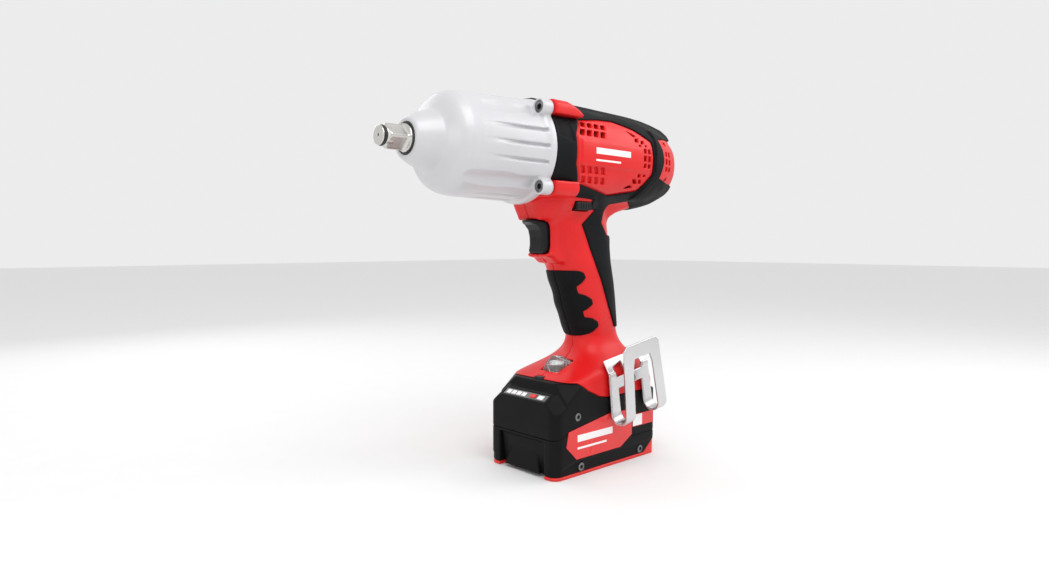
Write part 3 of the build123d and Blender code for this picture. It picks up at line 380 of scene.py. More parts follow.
# handle and foot: z, rear x, front x, half width, squareness
LEG = [
    (216, -18, 38, 19.0, 2.8), (195, -23.6, 36.6, 19.4, 3.0), (182, -26.6, 35.4, 19.6, 3.0),
    (168, -29.2, 31.5, 19.6, 2.8),
    (160, -30.6, 27.0, 19.6, 2.6),
    (143, -35.2, 20.2, 19.5, 2.4), (130, -37.6, 15.6, 18.8, 2.4), (115.5, -39.6, 10.4, 18.0, 2.4),
    (104, -41.0, 4.6, 17.2, 2.4),
    (98, -42.2, 2.6, 17.6, 2.5), (92, -45.0, 3.4, 20.0, 2.6), (86, -49.5, 6.6, 25.0, 2.8),
    (80, -54.6, 15.0, 31.0, 3.2),
    (75, -57.8, 29.0, 34.8, 4.2), (70, -59.4, 43.6, 36.6, 6.0), (62, -60.0, 45.4, 37.0, 8.0),
    (48, -60.0, 45.4, 37.0, 8.0),
]
TRIGGER_HOUSING = [
    (-14, 214), (61.0, 214), (58.4, 208), (57.2, 204.5), (55.6, 202.0), (52.8, 196.0), (52.2, 192.2),
    (46.0, 191.8),
    (41.6, 190.4), (39.6, 187.0), (39.4, 172.0), (40.6, 168.4), (43.4, 166.6), (42.6, 164.4), (37.0, 163.2),
    (32.0, 159.4),
    (-14, 156),
]
SEAM = [(-60.5, 55.0), (3.0, 55.0), (11.0, 56.6), (24.0, 62.6), (34.0, 69.4), (61.0, 70.0)]
PANEL = [
    (38.3, 254), (31.5, 265.2), (8, 268.3), (-11.1, 269.4), (-32.5, 265.4), (-53.9, 257.1),
    (-55.0, 243.5), (-54.3, 230.7), (-41.1, 217.6), (-9.3, 212.8), (31.6, 219.9), (38.3, 232.8),
]
COVER = [
    (61, 219.6), (35.6, 218.6), (35.0, 210.0), (5.6, 208.4), (9.0, 206.6), (9.0, 200.4), (-0.5, 200.8),
    (14.0, 189.5), (4.7, 170.3),
    (-7.7, 147.3), (-19.2, 123.6), (-29.4, 105.8), (-60, 104), (-60, 179.0), (-17.1, 181.8), (-9.4, 191.4),
    (-13.5, 198.9), (-23.3, 206.1), (-43.6, 209.2), (-70, 196), (-125, 196), (-125, 224.5), (-86, 226),
    (-66, 229.5),
    (-71.5, 243), (-69.6, 252), (-64, 260.6), (-88, 263.6), (-125, 266), (-125, 300), (61, 300),
]
BAND = [
    (-54, 268), (-57.6, 261), (-57, 250), (-55.8, 242), (-56.3, 233.5), (-46, 219.6), (-38, 210),
    (-48, 209), (-59.5, 221), (-67.5, 230), (-71.5, 243), (-69.6, 252), (-65, 261), (-61, 269),
]
FACET = [(58, 262), (44, 262), (41.5, 248), (58, 252)]
PAD = [
    (60, 154.0), (15.0, 153.6), (10.0, 152.0), (7.8, 147.9), (10.8, 143.6), (13.8, 140.8), (11.4, 135.6),
    (5.6, 133.8), (0.2, 130.6), (-1.0, 126.5), (2.6, 123.2), (6.0, 120.6), (4.0, 116.4), (-2.4, 115.2),
    (-7.6, 112.2), (-8.8, 108.2), (-3.0, 103.0), (6.0, 99.0), (60, 97.0),
]
SELECTOR = (8.0, 25.5, 200.0, 206.4)
SCREW_WELLS = [
    (-76, 262, 13.8), (-76, 224, 13.8), (36, 199, 13.8), (-24, 186, 13.8), (-22, 128, 13.8), (-36, 86, 21.8),
]

body_grid = Grid((-109.0, -0.7, 50.0), (66.5, 41.5, 288.0), 0.62)


def barrel_field(g):
    a, b = station(g.x, BARREL, 1, 4.0), station(g.x, BARREL, 2, 4.0)
    z = g.z - AXIS_Z
    round_ = superellipse(g.y, np.where(z > 0, z * TOP_SCALE, z), a, b, 2.2)
    round_ = smax(round_, -104.6 - g.x, 7.0)
    spine = smax(np.abs(g.y) - 12.5, polygon(SPINE, g.x, g.z), 5.0)
    keel = smax(np.abs(g.y) - 10.5, polygon(KEEL, g.x, g.z), 6.0)
    return smin(smin(round_, spine, 7.0), keel, 9.0)


def leg_field(g):
    rear, front = station(g.z, LEG, 1, 1.8), station(g.z, LEG, 2, 1.8)
    leg = superellipse(
        g.x - (rear + front) / 2, g.y, (front - rear) / 2, station(g.z, LEG, 3, 1.8),
            station(g.z, LEG, 4, 1.8)
    )
    return smax(leg, g.z - 224.0, 2.0)


def corner_blocks(g):
    """Wedges behind the flange over the case screws."""
    y = np.abs(g.y)
    upper = smax(slab(y, 20.0, 37.4), slab(g.x, 31.0, 60.2), 1.5)
    upper = smax(upper, g.z - (277.6 - np.maximum(0.0, 46.0 - g.x) * 0.56), 1.5)
    upper = smax(upper, 266.8 - g.z, 1.5)
    upper = smax(upper, ((y - 30.0) + (g.z - 271.0)) * 0.7071 - 7.4, 2.0)
    lower = smax(slab(y, 16.0, 37.6), slab(g.x, 35.2, 60.2), 1.5)
    lower = smax(lower, slab(g.z, 208.2, 219.6), 1.5)
    lower = smax(lower, ((y - 30.0) - (g.z - 215.0)) * 0.7071 - 7.4, 2.0)
    return np.minimum(upper, lower)


def vents(g):
    """Openings in the side panel and the tail, cut as blind pockets that get a dark plate at the bottom as
    painted shade, and shallow ones at the panel's lower front.
    """
    deep, shallow = [], []

    def slot(x, z, w, h, lean=0.0):
        return [(x - w / 2 + lean, z + h / 2), (x + w / 2 + lean, z + h / 2), (x + w / 2 - lean, z - h / 2),
            (x - w / 2 - lean, z - h / 2)]

    for k in range(4):
        deep.append(slot(28.4 - 7.5 * k, 262.6, 5.0, 3.6, -0.7))
        deep.append(slot(31.4 - 7.6 * k, 256.4, 5.2, 4.6, -1.0))
        shallow.append(slot(31.0 - 7.4 * k, 229.4, 4.4, 5.2, 1.2))
        shallow.append(slot(27.6 - 7.2 * k, 222.2, 4.2, 4.6, 1.4))
    for x in (-42.0, -48.0):
        deep += [slot(x, z, 3.6, h) for z, h in ((248.6, 3.8), (242.6, 4.6), (237.0, 3.4))]
    deep += [
        [(-22, 263.4), (-33, 260.2), (-30, 258.8)], slot(-33.0, 256.4, 4.4, 2.6, -0.6),
        slot(-40.4, 255.4, 3.8, 2.6, -0.6),
        slot(-36.4, 252.4, 2.6, 1.4), slot(-44.6, 253.0, 2.6, 1.2),
        slot(-37.0, 229.0, 3.6, 2.6), slot(-44.0, 229.4, 3.0, 2.0), slot(-33.0, 224.4, 5.2, 3.2, 1.4),
        slot(-40.0, 224.6, 3.6, 3.0, 0.8), [(-22, 218.0), (-33.5, 219.6), (-29, 221.6)],
    ]
    for x in (-80.0, -86.4):
        deep += [slot(x, z, 3.6, h) for z, h in ((250.0, 4.0), (243.6, 4.6), (237.4, 4.0))]
    deep += [[(-77, 260), (-84, 260), (-82, 256.6)], [(-78, 227.4), (-84, 228.4), (-83, 231.4)]]

    def merged(outlines):
        total = None
        for outline in outlines:
            d = polygon(outline, g.x, g.z)
            total = d if total is None else np.minimum(total, d)
        return total

    return merged(deep), merged(shallow)


def screw_recesses(g):
    """Round wells over the housing screws' heads, x, z and how deep the head sits."""
    wells = None
    for x, z, reach in SCREW_WELLS:
        well = np.maximum(np.sqrt((g.x - x) ** 2 + (g.z - z) ** 2) - 3.3, reach - g.y)
        wells = well if wells is None else np.minimum(wells, well)
    return wells


def build_housing():
    g = body_grid
    barrel, leg = barrel_field(g), leg_field(g)
    web = smax(np.abs(g.y) - 9.5, polygon(WEB, g.x, g.z), 5.0)
    base = smin(smin(barrel, leg, 6.0), web, 7.0)
    panel, band = polygon(PANEL, g.x, g.z), polygon(BAND, g.x, g.z)
    outside = g.y > 14.0

    # red shell
    lift = 0.9 * ramp(panel, -0.2, -1.2) + 0.8 * ramp(np.abs(g.z - 241.6), 10.6, 8.6) * ramp(panel, -3.0,
        -5.0)
    core = base - np.where(outside, lift, 0.0)
    half = 12.8 + 11.0 * ramp(g.z, 188.0, 207.0) * ramp(g.x, -16.0, 8.0) * ramp(g.x, 62.0, 36.0)
    guard = smax(np.abs(g.y) - half, polygon(TRIGGER_HOUSING, g.x, g.z), 5.0)
    core = smin(core, guard, 2.4)
    blocks = corner_blocks(g)
    red = smin(core, blocks, 0.8)
    red = smax(red, g.x - np.where(g.z > 204.0, 60.3, 66.0), 0.6)
    deep, shallow = vents(g)
    red = smax(red, -smax(smax(deep, 4.2 - (base + 8.0), 0.4), 16.0 - g.y, 0.4), 0.5)
    red = smax(red, -smax(smax(shallow, -1.4 - base, 0.4), 16.0 - g.y, 0.4), 0.5)
    # openings: trigger, cross bolt, battery rails, lens, latch
    red = smax(red, -smax(smax(slab(g.x, 12.0, 80.0), np.abs(g.y) - 9.5, 0.8), slab(g.z, 166.5, 193.1),
        0.8), 0.8)
    x0, x1, z0, z1 = SELECTOR
    red = np.maximum(red, -smax(slab(g.x, x0 - 0.4, x1 + 0.4), slab(g.z, z0 - 0.4, z1 + 0.4), 1.0))
    under = [(x, z + 0.25) for x, z in SEAM] + [(70, 300), (-130, 300), (-130, 55.25)]
    red = smax(red, polygon(under, g.x, g.z), 0.7)
    rail = np.maximum(np.abs(g.y) - 17.5, slab(g.z, 40.0, 60.4))
    rail = np.minimum(rail, np.maximum(np.abs(g.y) - 21.5, slab(g.z, 59.6, 66.8)))
    red = np.maximum(red, -np.maximum(rail, -54.0 - g.x))
    lens = polygon([(31.0, 71.0), (30.2, 78.0), (24.4, 86.6), (8.6, 80.4), (9.6, 71.0)], g.x, g.z)
    red = smax(red, -np.maximum(lens, np.abs(g.y) - 9.3), 0.6)
    red = np.maximum(red, -np.maximum(np.maximum(slab(g.z, 60.0, 71.7), np.abs(g.y) - 4.7), 37.5 - g.x))
    groove = polygon([(-9.4, 108.3), (-9.0, 108.8), (-21.0, 114.8), (-21.4, 114.2)], g.x, g.z)
    red = smax(red, -np.maximum(groove, -0.7 - base), 0.3)
    # hook seat, and the parting seam at Y = 0
    seat = smax(np.sqrt((g.x + 21.0) ** 2 + (g.z - 68.0) ** 2) - 5.2, g.y - 38.2, 0.8)
    red = np.minimum(red, np.maximum(seat, 24.0 - g.y))
    hole = np.maximum(np.sqrt((g.x + 21.0) ** 2 + (g.z - 68.0) ** 2) - 1.75, 28.5 - g.y)
    red = np.maximum(red, -hole)
    red = smax(red, 0.06 - g.y, 0.7)
    holes = screw_recesses(g)
    halves("shell", g, red, holes, ["housing"], M["panel_red"])
    # dark plate at the bottom of the deep vent pockets: painted shade standing in for the shadowed inside of
    # the tool behind the openings
    shade_plate = np.maximum(np.maximum(base + 3.2, -(base + 4.6)), np.maximum(deep - 1.5, 17.0 - g.y))
    halves("vent_shade_plate", g, np.maximum(shade_plate, 0.3 - g.y), holes, [], M["inner_plastic"], 0)

    # soft cover
    thick = 1.25 + 1.5 * ramp(band, 0.3, -1.4) - 0.6 * ramp(polygon(FACET, g.x, g.z), 0.4, -0.8)
    under_cover = smin(base, guard, 2.4)
    cover = smax(under_cover - thick, -(under_cover + 0.8), 0.4)
    area = smax(polygon(COVER, g.x, g.z), -np.where(outside, panel - 0.35, 9.0), 0.5)
    strip = smax(slab(g.x, -23.0, 4.0), np.abs(g.y) - 2.2, 1.0)
    strip = np.maximum(strip, 270.0 - g.z)
    cover = smax(cover, area, 1.3)
    cover = smax(cover, -strip, 0.6)
    cover = smax(cover, -(blocks - 0.35), 0.6)
    cover = np.maximum(cover, -smax(slab(g.x, x0 - 0.5, x1 + 0.5), slab(g.z, z0 - 0.5, z1 + 0.5), 1.0))
    cover = smax(cover, g.x - 60.25, 0.8)
    cover = smax(cover, 0.06 - g.y, 0.6)
    halves("cover", g, cover, holes, ["soft_cover"], M["soft_black"])

    # finger pad, with shallow waves under the fingers
    wave = 0.35 * np.cos((g.z - 145.0) * 2 * math.pi / 19.0)
    pad = smax(leg - 1.25 - wave, -(leg + 0.8), 0.4)
    pad = smax(pad, polygon(PAD, g.x, g.z), 1.2)
    pad = smax(pad, 0.06 - g.y, 0.6)
    halves("pad", g, pad, holes, ["grip_pad"], M["soft_black"])


build_housing()

# ---------------------------------------------------------------- hammer case
CASE = [
    (163.0, 12.8), (161.8, 13.8), (158.0, 16.0), (153.0, 18.2), (148.0, 19.8), (144.0, 21.0), (142.0, 24.6),
    (139.4, 29.2),
    (136.0, 32.6), (131.0, 34.9), (125.0, 35.8), (117.0, 36.2), (80.0, 37.2), (67.6, 37.6), (66.4, 39.2),
    (60.5, 39.3), (58.0, 39.3),
]


def build_case():
    g = Grid((59.0, -0.55, 200.0), (163.6, 42.0, 286.0), 0.55)
    y, z = g.y, g.z - AXIS_Z
    r = np.sqrt(y * y + z * z)
    radius = station(g.x, CASE, 1, 0.9)
    slope = np.gradient(radius.ravel(), g.voxel).reshape(radius.shape)
    case = (r - radius) / np.sqrt(1 + slope**2)
    case = smax(case, g.x - 162.0, 1.2)
    ear_d = np.sqrt((y - 30.0) ** 2 + (np.abs(z) - 28.0) ** 2)
    case = smax(case, z - (36.4 + 0.012 * (g.x - 60.0)), 1.2)
    ear = smax(ear_d - 5.8, g.x - 71.0, 1.0)
    case = smin(case, ear, 1.2)
    # flute in front of each screw, fading out at the shoulder
    fade = 8.6 + 1.2 * ramp(g.x, 86.0, 104.0) - np.where(z > 0, 5.0, 0.0) * ramp(g.x, 112.0, 132.0)
    flute = np.sqrt((y - 31.6) ** 2 + (np.abs(z) - 29.8) ** 2) - fade
    case = smax(case, -smax(flute, slab(g.x, 71.0, np.where(z > 0, 140.0, 133.0)), 0.6), 0.5)
    case = smax(case, -np.maximum(ear_d - 4.5, 66.6 - g.x), 0.4)
    case = np.maximum(case, -(ear_d - 2.2))
    # long grooves on the sides, top and underside
    angle = np.degrees(np.arctan2(z, y))
    top = np.degrees(np.arctan2(y, np.abs(z)))
    depth = 2.4 * ramp(g.x, 126.0, 84.0)
    for centre in (-17.5, 0.0, 17.5):
        # each side groove has a steep upper wall and a sloping lower one
        off = (angle - centre) * (math.pi / 180) * 37.0
        cut = smax(np.maximum(off - 1.3, -1.9 - off), radius - depth * ramp(off, -2.2, 0.5) - r, 0.2)
        case = smax(case, -smax(cut, slab(g.x, 66.4, 124.0), 0.4), 0.2)
    for centre in (8.0, 22.0):
        off = np.abs(top - centre) * (math.pi / 180) * 37.0
        cut = smax(off - 1.4, radius - depth * 0.7 - r, 0.4)
        case = smax(case, -smax(cut, slab(g.x, 74.0, 116.0), 0.4), 0.5)
    # hollow for the mechanism and its nose bore
    case = np.maximum(case, -np.maximum(r - np.where(g.x < 88.0, 33.4, 30.6), g.x - 131.0))
    case = smax(case, -(r - 10.9), 0.5)
    case = smax(case, 60.55 - g.x, 0.6)
    whole = Grid((59.0, -42.0, 200.0), (163.6, 42.0, 286.0), 0.55)
    mirrored = np.concatenate([case[:, :1:-1, :], case[:, 1:, :]], axis=1)
    whole.y = np.concatenate([-g.y[0, :1:-1, 0], g.y[0, 1:, 0]])[None, :, None]
    whole.low[1] = whole.y[0, 0, 0]
    piece("case", whole, mirrored, "housing", ["hammer_case"], M["case_white"])


build_case()


# ---------------------------------------------------------------- anvil
def build_anvil():
    g = Grid((125.0, -26.0, AXIS_Z - 14.0), (183.5, 26.0, AXIS_Z + 14.0), 0.34)
    y, z = g.y, g.z - AXIS_Z
    r = np.sqrt(y * y + z * z)
    u, v = np.abs(y + z) * 0.7071, np.abs(y - z) * 0.7071
    square = smax(u - 6.35, v - 6.35, 1.2)
    square = smax(square, r - 8.5, 0.8)
    square = smax(square, slab(g.x, 160.0, 178.2), 0.8)
    square = smax(square, r - 8.5 - (178.2 - g.x - 1.6) * 0.9, 0.6)
    neck = smax(r - 9.2, slab(g.x, 126.0, 163.4), 0.8)
    shape = smin(square, neck, 2.4)
    pilot = smax(r - 6.45, slab(g.x, 174.0, 182.45), 0.9)
    shape = np.minimum(shape, pilot)
    shape = smax(shape, -smax(slab(g.x, 178.9, 181.1), 4.5 - r, 0.3), 0.4)
    disc = smax(r - 13.2, slab(g.x, 126.0, 134.4), 0.8)
    wing = smax(smax(np.abs(z) - 7.5, r - 25.4, 0.8), slab(g.x, 126.0, 134.4), 0.8)
    shape = np.minimum(shape, smin(disc, wing, 2.0))
    shape = smax(shape, -np.maximum(r - 1.05, 179.6 - g.x), 0.4)
    shape = np.maximum(shape, -np.maximum(r - 4.5, g.x - 137.5))
    piece("anvil_square", g, shape, "anvil", ["anvil"], M["tool_steel"])
    ring_grid = Grid((177.8, -8.0, AXIS_Z - 8.0), (182.2, 8.0, AXIS_Z + 8.0), 0.22)
    y, z = ring_grid.y, ring_grid.z - AXIS_Z
    r = np.sqrt(y * y + z * z)
    ring = np.sqrt((r - 5.75) ** 2 + (ring_grid.x - 180.0) ** 2) - 1.05
    ring = smax(ring, -smax(np.abs(y) - 0.5, -z, 0.2), 0.2)
    piece("socket_ring", ring_grid, ring, "anvil", ["friction_ring"], M["nitrile"])


build_anvil()


# ---------------------------------------------------------------- battery
def plane_through(g, a, b, c):
    """Signed distance to the plane through three points, positive towards larger Y and Z."""
    n = Vector(b).__sub__(Vector(a)).cross(Vector(c) - Vector(a)).normalized()
    if n.z < 0:
        n = -n
    return (g.x - a[0]) * n.x + (np.abs(g.y) - a[1]) * n.y + (g.z - a[2]) * n.z


PARTING = [(-90, 19.3), (-27.0, 19.3), (-8.0, 31.5), (46.0, 34.8), (56.0, 30.0), (90, 30.0), (90, -20),
    (-90, -20)]
SCREWS = [(36.0, 45.0), (32.3, 6.6), (-38.3, 6.6), (-46.0, 44.0)]
LABEL = [(46.5, 35.2), (49.0, 24.0), (38.0, 13.2), (-13.0, 13.2), (-27.0, 21.0), (-27.0, 41.5), (0.0, 42.4)]
REAR_LABEL = [(-28.0, 26.5), (-55.0, 26.5), (-55.0, 36.5), (-28.0, 36.5)]


def pack_field(g):
    """Outside of the battery, without its rails."""
    y = np.abs(g.y)
    qx, qy = np.abs(g.x) - 60.4 + 8.0, y - 37.4 + 8.0
    plan = np.sqrt(np.maximum(qx, 0) ** 2 + np.maximum(qy, 0) ** 2) + np.minimum(np.maximum(qx, qy), 0) - 8.0
    block = smax(plan, -g.z + 0.05, 1.0)
    slope = polygon([(-90, -9), (60.4, -9), (60.4, 47), (59.4, 56.6), (50.2, 62.6), (44.0, 63.0),
        (-90, 63.0)], g.x, g.z)
    chamfer = plane_through(g, (60, 26.5, 56), (60.5, 37.5, 46.5), (39.4, 37.5, 58.2))
    main = smax(smax(block, slope, 1.2), chamfer, 1.2)
    rim = smax(smax(block, g.x - 47.2 + 0.12 * (g.z - 63), 1.2), g.z - 70.0, 1.6)
    rim = smax(rim, chamfer - 1.6 - 0.17 * np.maximum(46.0 - g.x, 0.0), 1.4)
    shape = np.minimum(main, rim)
    under = SEAM + [(90, 70.0), (90, -20), (-90, -20), (-90, 55.0)]
    shape = smax(shape, polygon(under, g.x, g.z), 1.0)
    # the lower sides step in below the label
    step = polygon([(-90, -9), (-90, 12.0), (37.5, 12.0), (51.5, 8.6), (90, 8.6), (90, -9)], g.x, g.z)
    shape = np.maximum(shape, np.where(y > 30, plan + 0.55 * ramp(step, 0.9, -0.9), -9.0))
    return shape


def build_battery():
    g = Grid((-61.6, -38.6, -1.0), (61.6, 38.6, 71.4), 0.62)
    y = np.abs(g.y)
    pack = pack_field(g)
    recess = smax(smax(50.2 - g.x, y - 24.9, 1.0), g.z - 27.8, 1.0)
    pack = smax(pack, -recess, 1.0)
    hole = None
    for x, z in SCREWS:
        d = np.maximum(np.sqrt((g.x - x) ** 2 + (g.z - z) ** 2) - 3.3, 35.6 - y)
        hole = d if hole is None else np.minimum(hole, d)
    pack = smax(pack, -hole, 0.5)
    lower = polygon(PARTING, g.x, g.z)
    red_area = polygon([(-90, 45), (-60.5, 15.5), (-44.0, 2.6), (90, 2.6), (90, -9), (-90, -9)], g.x, g.z)
    inside = pack + 3.0
    base = smax(smax(pack, red_area, 0.7), -inside, 0.3)
    piece("pack_base", g, base, "battery", ["battery_base"], M["button_red"])
    black = smax(smax(smax(pack, lower, 0.8), -(red_area - 0.1), 0.7), -inside, 0.3)
    piece("pack_lower", g, black, "battery", ["battery_lower_case"], M["pack_black"])
    upper = smax(smax(pack, -(lower - 0.1), 0.8), -inside, 0.3)
    display = display_frame(g)
    upper = smax(upper, -np.maximum(np.maximum(np.abs(display[0]) - 3.4, y - 23.4), -0.9 - display[1]), 0.4)
    rails = np.maximum(y - 17.0, slab(g.z, 52.0, 61.0))
    rails = np.minimum(rails, smax(y - 21.0, slab(g.z, 60.6, 66.0), 0.8))
    rails = smax(rails, slab(g.x, -46.4, 14.0), 0.8)
    upper = np.minimum(upper, rails)
    for blade in (7.0, 14.0):
        upper = np.maximum(upper, -np.maximum(np.maximum(np.abs(y - blade) - 1.0, 60.3 - g.z), g.x + 34.0))
    slot = np.maximum(np.maximum(slab(g.x, 37.6, 42.6), y - 4.6), 50.0 - g.z)
    upper = np.maximum(upper, -slot)
    piece("pack_upper", g, upper, "battery", ["battery_upper_case"], M["pack_black"])


SLOPE_AT, SLOPE_TILT = (55.2, 59.4), math.radians(33.0)


def display_frame(g):
    """Distance down the display slope and height above it."""
    dx, dz = g.x - SLOPE_AT[0], g.z - SLOPE_AT[1]
    c, s = math.cos(SLOPE_TILT), math.sin(SLOPE_TILT)
    return dx * c - dz * s, dx * s + dz * c


build_battery()


def label_mesh(outline, y0, y1):
    bm = bmesh.new()
    for side in (1, -1):
        verts = [bm.verts.new((x * MM, side * y0 * MM, z * MM)) for x, z in outline]
        face = bm.faces.new(verts)
        grown = bmesh.ops.extrude_face_region(bm, geom=[face])
        for v in grown["geom"]:
            if isinstance(v, bmesh.types.BMVert):
                v.co.y = side * y1 * MM
    bmesh.ops.recalc_face_normals(bm, faces=bm.faces)
    bmesh.ops.bevel(bm, geom=list(bm.edges), offset=0.09 * MM, segments=2, affect="EDGES")
    mesh = bpy.data.meshes.new("label")
    bm.to_mesh(mesh)
    bm.free()
    return mesh


def build_labels():
    for name, outline, mat, nodes in (
        ("label_main", LABEL, M["label_red"], ["battery_labels"]),
        ("label_rear", REAR_LABEL, M["label_red"], []),
        ("label_plain", [(-28.2, 27.0), (-40.0, 27.0), (-40.0, 36.0), (-28.2, 36.0)], M["print_white"], []),
    ):
        thick = 0.42 if name == "label_plain" else 0.3
        obj = bpy.data.objects.new(name, label_mesh(outline, 37.2, 37.4 + thick))
        bpy.context.scene.collection.objects.link(obj)
        dress(obj, "battery", nodes, mat)


build_labels()


def on_slope(points):
    """Points given as (down the slope, y, height above it), in the row frame."""
    c, s = math.cos(SLOPE_TILT), math.sin(SLOPE_TILT)
    return [(SLOPE_AT[0] + u * c + h * s, y, SLOPE_AT[1] - u * s + h * c) for u, y, h in points]


def slope_block(name, u0, u1, y0, y1, h0, h1, body, nodes, mat, bevel=0.2):
    """Bevelled block lying on the display slope."""
    corners = on_slope([(u, y, h) for u in (u0, u1) for y in (y0, y1) for h in (h0, h1)])
    bm = bmesh.new()
    verts = [bm.verts.new(Vector(c) * MM) for c in corners]
    bmesh.ops.convex_hull(bm, input=verts)
    bmesh.ops.dissolve_limit(bm, angle_limit=0.02, verts=bm.verts, edges=bm.edges)
    bmesh.ops.recalc_face_normals(bm, faces=bm.faces)
    bmesh.ops.bevel(bm, geom=list(bm.edges), offset=bevel * MM, segments=2, affect="EDGES")
    mesh = bpy.data.meshes.new(name)
    bm.to_mesh(mesh)
    bm.free()
    obj = bpy.data.objects.new(name, mesh)
    bpy.context.scene.collection.objects.link(obj)
    return dress(obj, body, nodes, mat)


def build_display():
    slope_block("display_plate", -3.2, 3.2, -23.2, 23.2, -1.6, -0.35, "battery", ["charge_display"],
                M["display_panel"])
    for k in range(4):
        y = -18.5 + 5.6 * k
        slope_block(f"charge_bar_{k + 1}", -1.9, 1.9, y - 2.3, y + 2.3, -0.6, -0.2, "battery", [],
                    M["print_white"], 0.12)
    slope_block("charge_key", -1.9, 1.9, 5.2, 11.6, -1.2, 0.15, "charge_button", ["charge_button"],
                M["button_red"], 0.3)
    slope_block("charge_mark", -1.9, 1.9, 13.6, 19.6, -0.6, -0.2, "battery", [], M["print_white"],
        0.12)


build_display()


# ---------------------------------------------------------------- release paddle
def build_paddle():
    g = Grid((42.4, -25.0, 1.0), (60.4, 25.0, 28.4), 0.5)
    y = np.abs(g.y)
    profile = polygon([(53.0, 1.8), (54.6, 1.8), (57.8, 27.2), (53.0, 27.2)], g.x, g.z)
    paddle = smax(profile, y - 24.3, 0.8)
    # raised panel: a trapezoid that slopes out towards its lower edge
    wide = 14.0 + (17.5 - g.z) * 0.35
    grip = smax(polygon([(53.0, 2.4), (59.4, 2.4), (56.4, 17.6), (53.0, 17.6)], g.x, g.z), y - wide, 1.0)
    shape = smin(paddle, grip, 0.8)
    pusher = np.maximum(np.maximum(slab(g.x, 43.0, 54.0), y - 3.0), slab(g.z, 18.0, 22.0))
    piece("release_paddle", g, np.minimum(shape, pusher), "release_button", ["release_button"],
          M["pack_black"])


build_paddle()

# ---------------------------------------------------------------- belt hook
HOOK = (-21.0, 68.0)
HOOK_LEAN = math.radians(9.0)


def build_hook():
    g = Grid((-60.0, 27.0, 30.0), (16.0, 57.0, 104.0), 0.45)
    dx, dz = g.x - HOOK[0], g.z - HOOK[1]
    c, s = math.cos(HOOK_LEAN), math.sin(HOOK_LEAN)
    x, z = dx * c - dz * s, dx * s + dz * c
    y = g.y
    thick, y_in, y_out = 1.8, 38.6, 53.4
    h, w, low = 25.5, 11.0, -31.0
    bend_r = (y_out + thick - y_in) / 2
    bend_z, mid_y = low + bend_r, y_in + bend_r

    def plate(outline, y0, round_=1.6):
        return smax(polygon(outline, x, z), slab(y, y0, y0 + thick), 0.5)

    legs = polygon([(-h, bend_z), (-h + w, bend_z), (-h + w, -4.6), (h - w, -4.6), (h - w, bend_z),
        (h, bend_z),
                    (h - 1.6, 9), (h - 9.0, 9), (h - 10.5, 4.6), (-h + 10.5, 4.6), (-h + 9.0, 9),
                    (-h + 1.6, 9)], x, z)
    inner = smax(legs, slab(y, y_in, y_in + thick), 0.5)
    # the frame above leans in over the foot
    t = math.radians(33.0)
    along = (z - 6.6) * math.cos(t) - (y - y_in) * math.sin(t)
    across = (y - y_in) * math.cos(t) + (z - 6.6) * math.sin(t)
    bar = polygon([(-h + 2, -1.5), (-h + 8.5, -1.5), (-h + 10.2, 6.0), (-4.0, 8.6), (-4.0, -1.5),
        (4.0, -1.5), (4.0, 8.6), (h - 10.2, 6.0),
                   (h - 8.5, -1.5), (h - 2, -1.5), (h - 4.6, 13.2), (-h + 4.6, 13.2)], x, along)
    inner = smin(inner, smax(bar, slab(across, 0.0, thick), 0.5), 0.8)
    ring = np.abs(np.sqrt((y - mid_y) ** 2 + (z - bend_z) ** 2) - bend_r + thick / 2) - thick / 2
    ring = smax(ring, z - bend_z, 0.2)
    ring = smax(ring, np.abs(np.abs(x) - (h - w / 2)) - w / 2, 0.5)
    arms = polygon([(-h, bend_z), (-h + w, bend_z), (-h + w + 2.6, 12), (-h + w + 5.0, 19.5),
        (h - w - 5.0, 19.5),
                    (h - w - 2.6, 12), (h - w, bend_z), (h, bend_z), (h - 4.0, 27.5), (h - 8.0, 31.4),
                    (-h + 8.0, 31.4),
                    (-h + 4.0, 27.5)], x, z)
    outer = smax(arms, slab(y, y_out, y_out + thick), 0.5)
    hook = np.minimum(np.minimum(inner, ring), outer)
    hook = smax(hook, -np.maximum(np.sqrt(x * x + z * z) - 2.2, y - 45), 0.4)
    piece("hook_strip", g, hook, "housing", ["belt_hook"], M["bright_steel"])


build_hook()


# ---------------------------------------------------------------- trigger and cross bolt
def build_controls():
    g = Grid((18.6, -10.0, 165.6), (61.0, 10.0, 193.8), 0.4)
    y = np.abs(g.y)
    outline = [
        (57.0, 192.4), (56.4, 191.4), (49.6, 188.8), (45.6, 184.8), (44.1, 179.4), (43.9, 174.0),
        (44.9, 168.8), (44.0, 167.1),
        (26.2, 167.1), (26.2, 192.5), (50.0, 192.5),
    ]
    plan = np.sqrt(np.maximum(g.x - 46.6, 0.0) ** 2 + y**2) - 8.9
    shape = smax(smax(polygon(outline, g.x, g.z), y - 8.9, 3.0), plan, 1.0)
    stem = np.maximum(np.maximum(slab(g.x, 20.0, 27.2), y - 2.6), slab(g.z, 176.6, 183.4))
    piece("trigger_lever", g, np.minimum(shape, stem), "trigger", ["trigger"], M["trigger_black"])

    x0, x1, z0, z1 = SELECTOR
    g = Grid((5.0, -26.5, 195.0), (27.0, 26.5, 208.0), 0.4)
    y = np.abs(g.y)
    bolt = smax(smax(slab(g.x, x0, x1), slab(g.z, z0, z1), 1.6), y - 24.8 - 0.02 * (g.x - x0), 1.2)
    for k in range(4):
        groove = np.sqrt((g.x - (x0 + 4.6 + 2.8 * k)) ** 2 + (y - 25.6) ** 2) - 0.9
        bolt = smax(bolt, -groove, 0.3)
    foot = np.maximum(np.maximum(slab(g.x, 6.5, 9.5), y - 2.0), slab(g.z, 196.0, z0 + 1))
    piece("cross_bolt", g, np.minimum(bolt, foot), "direction_selector", ["direction_selector"],
        M["trigger_black"])


build_controls()
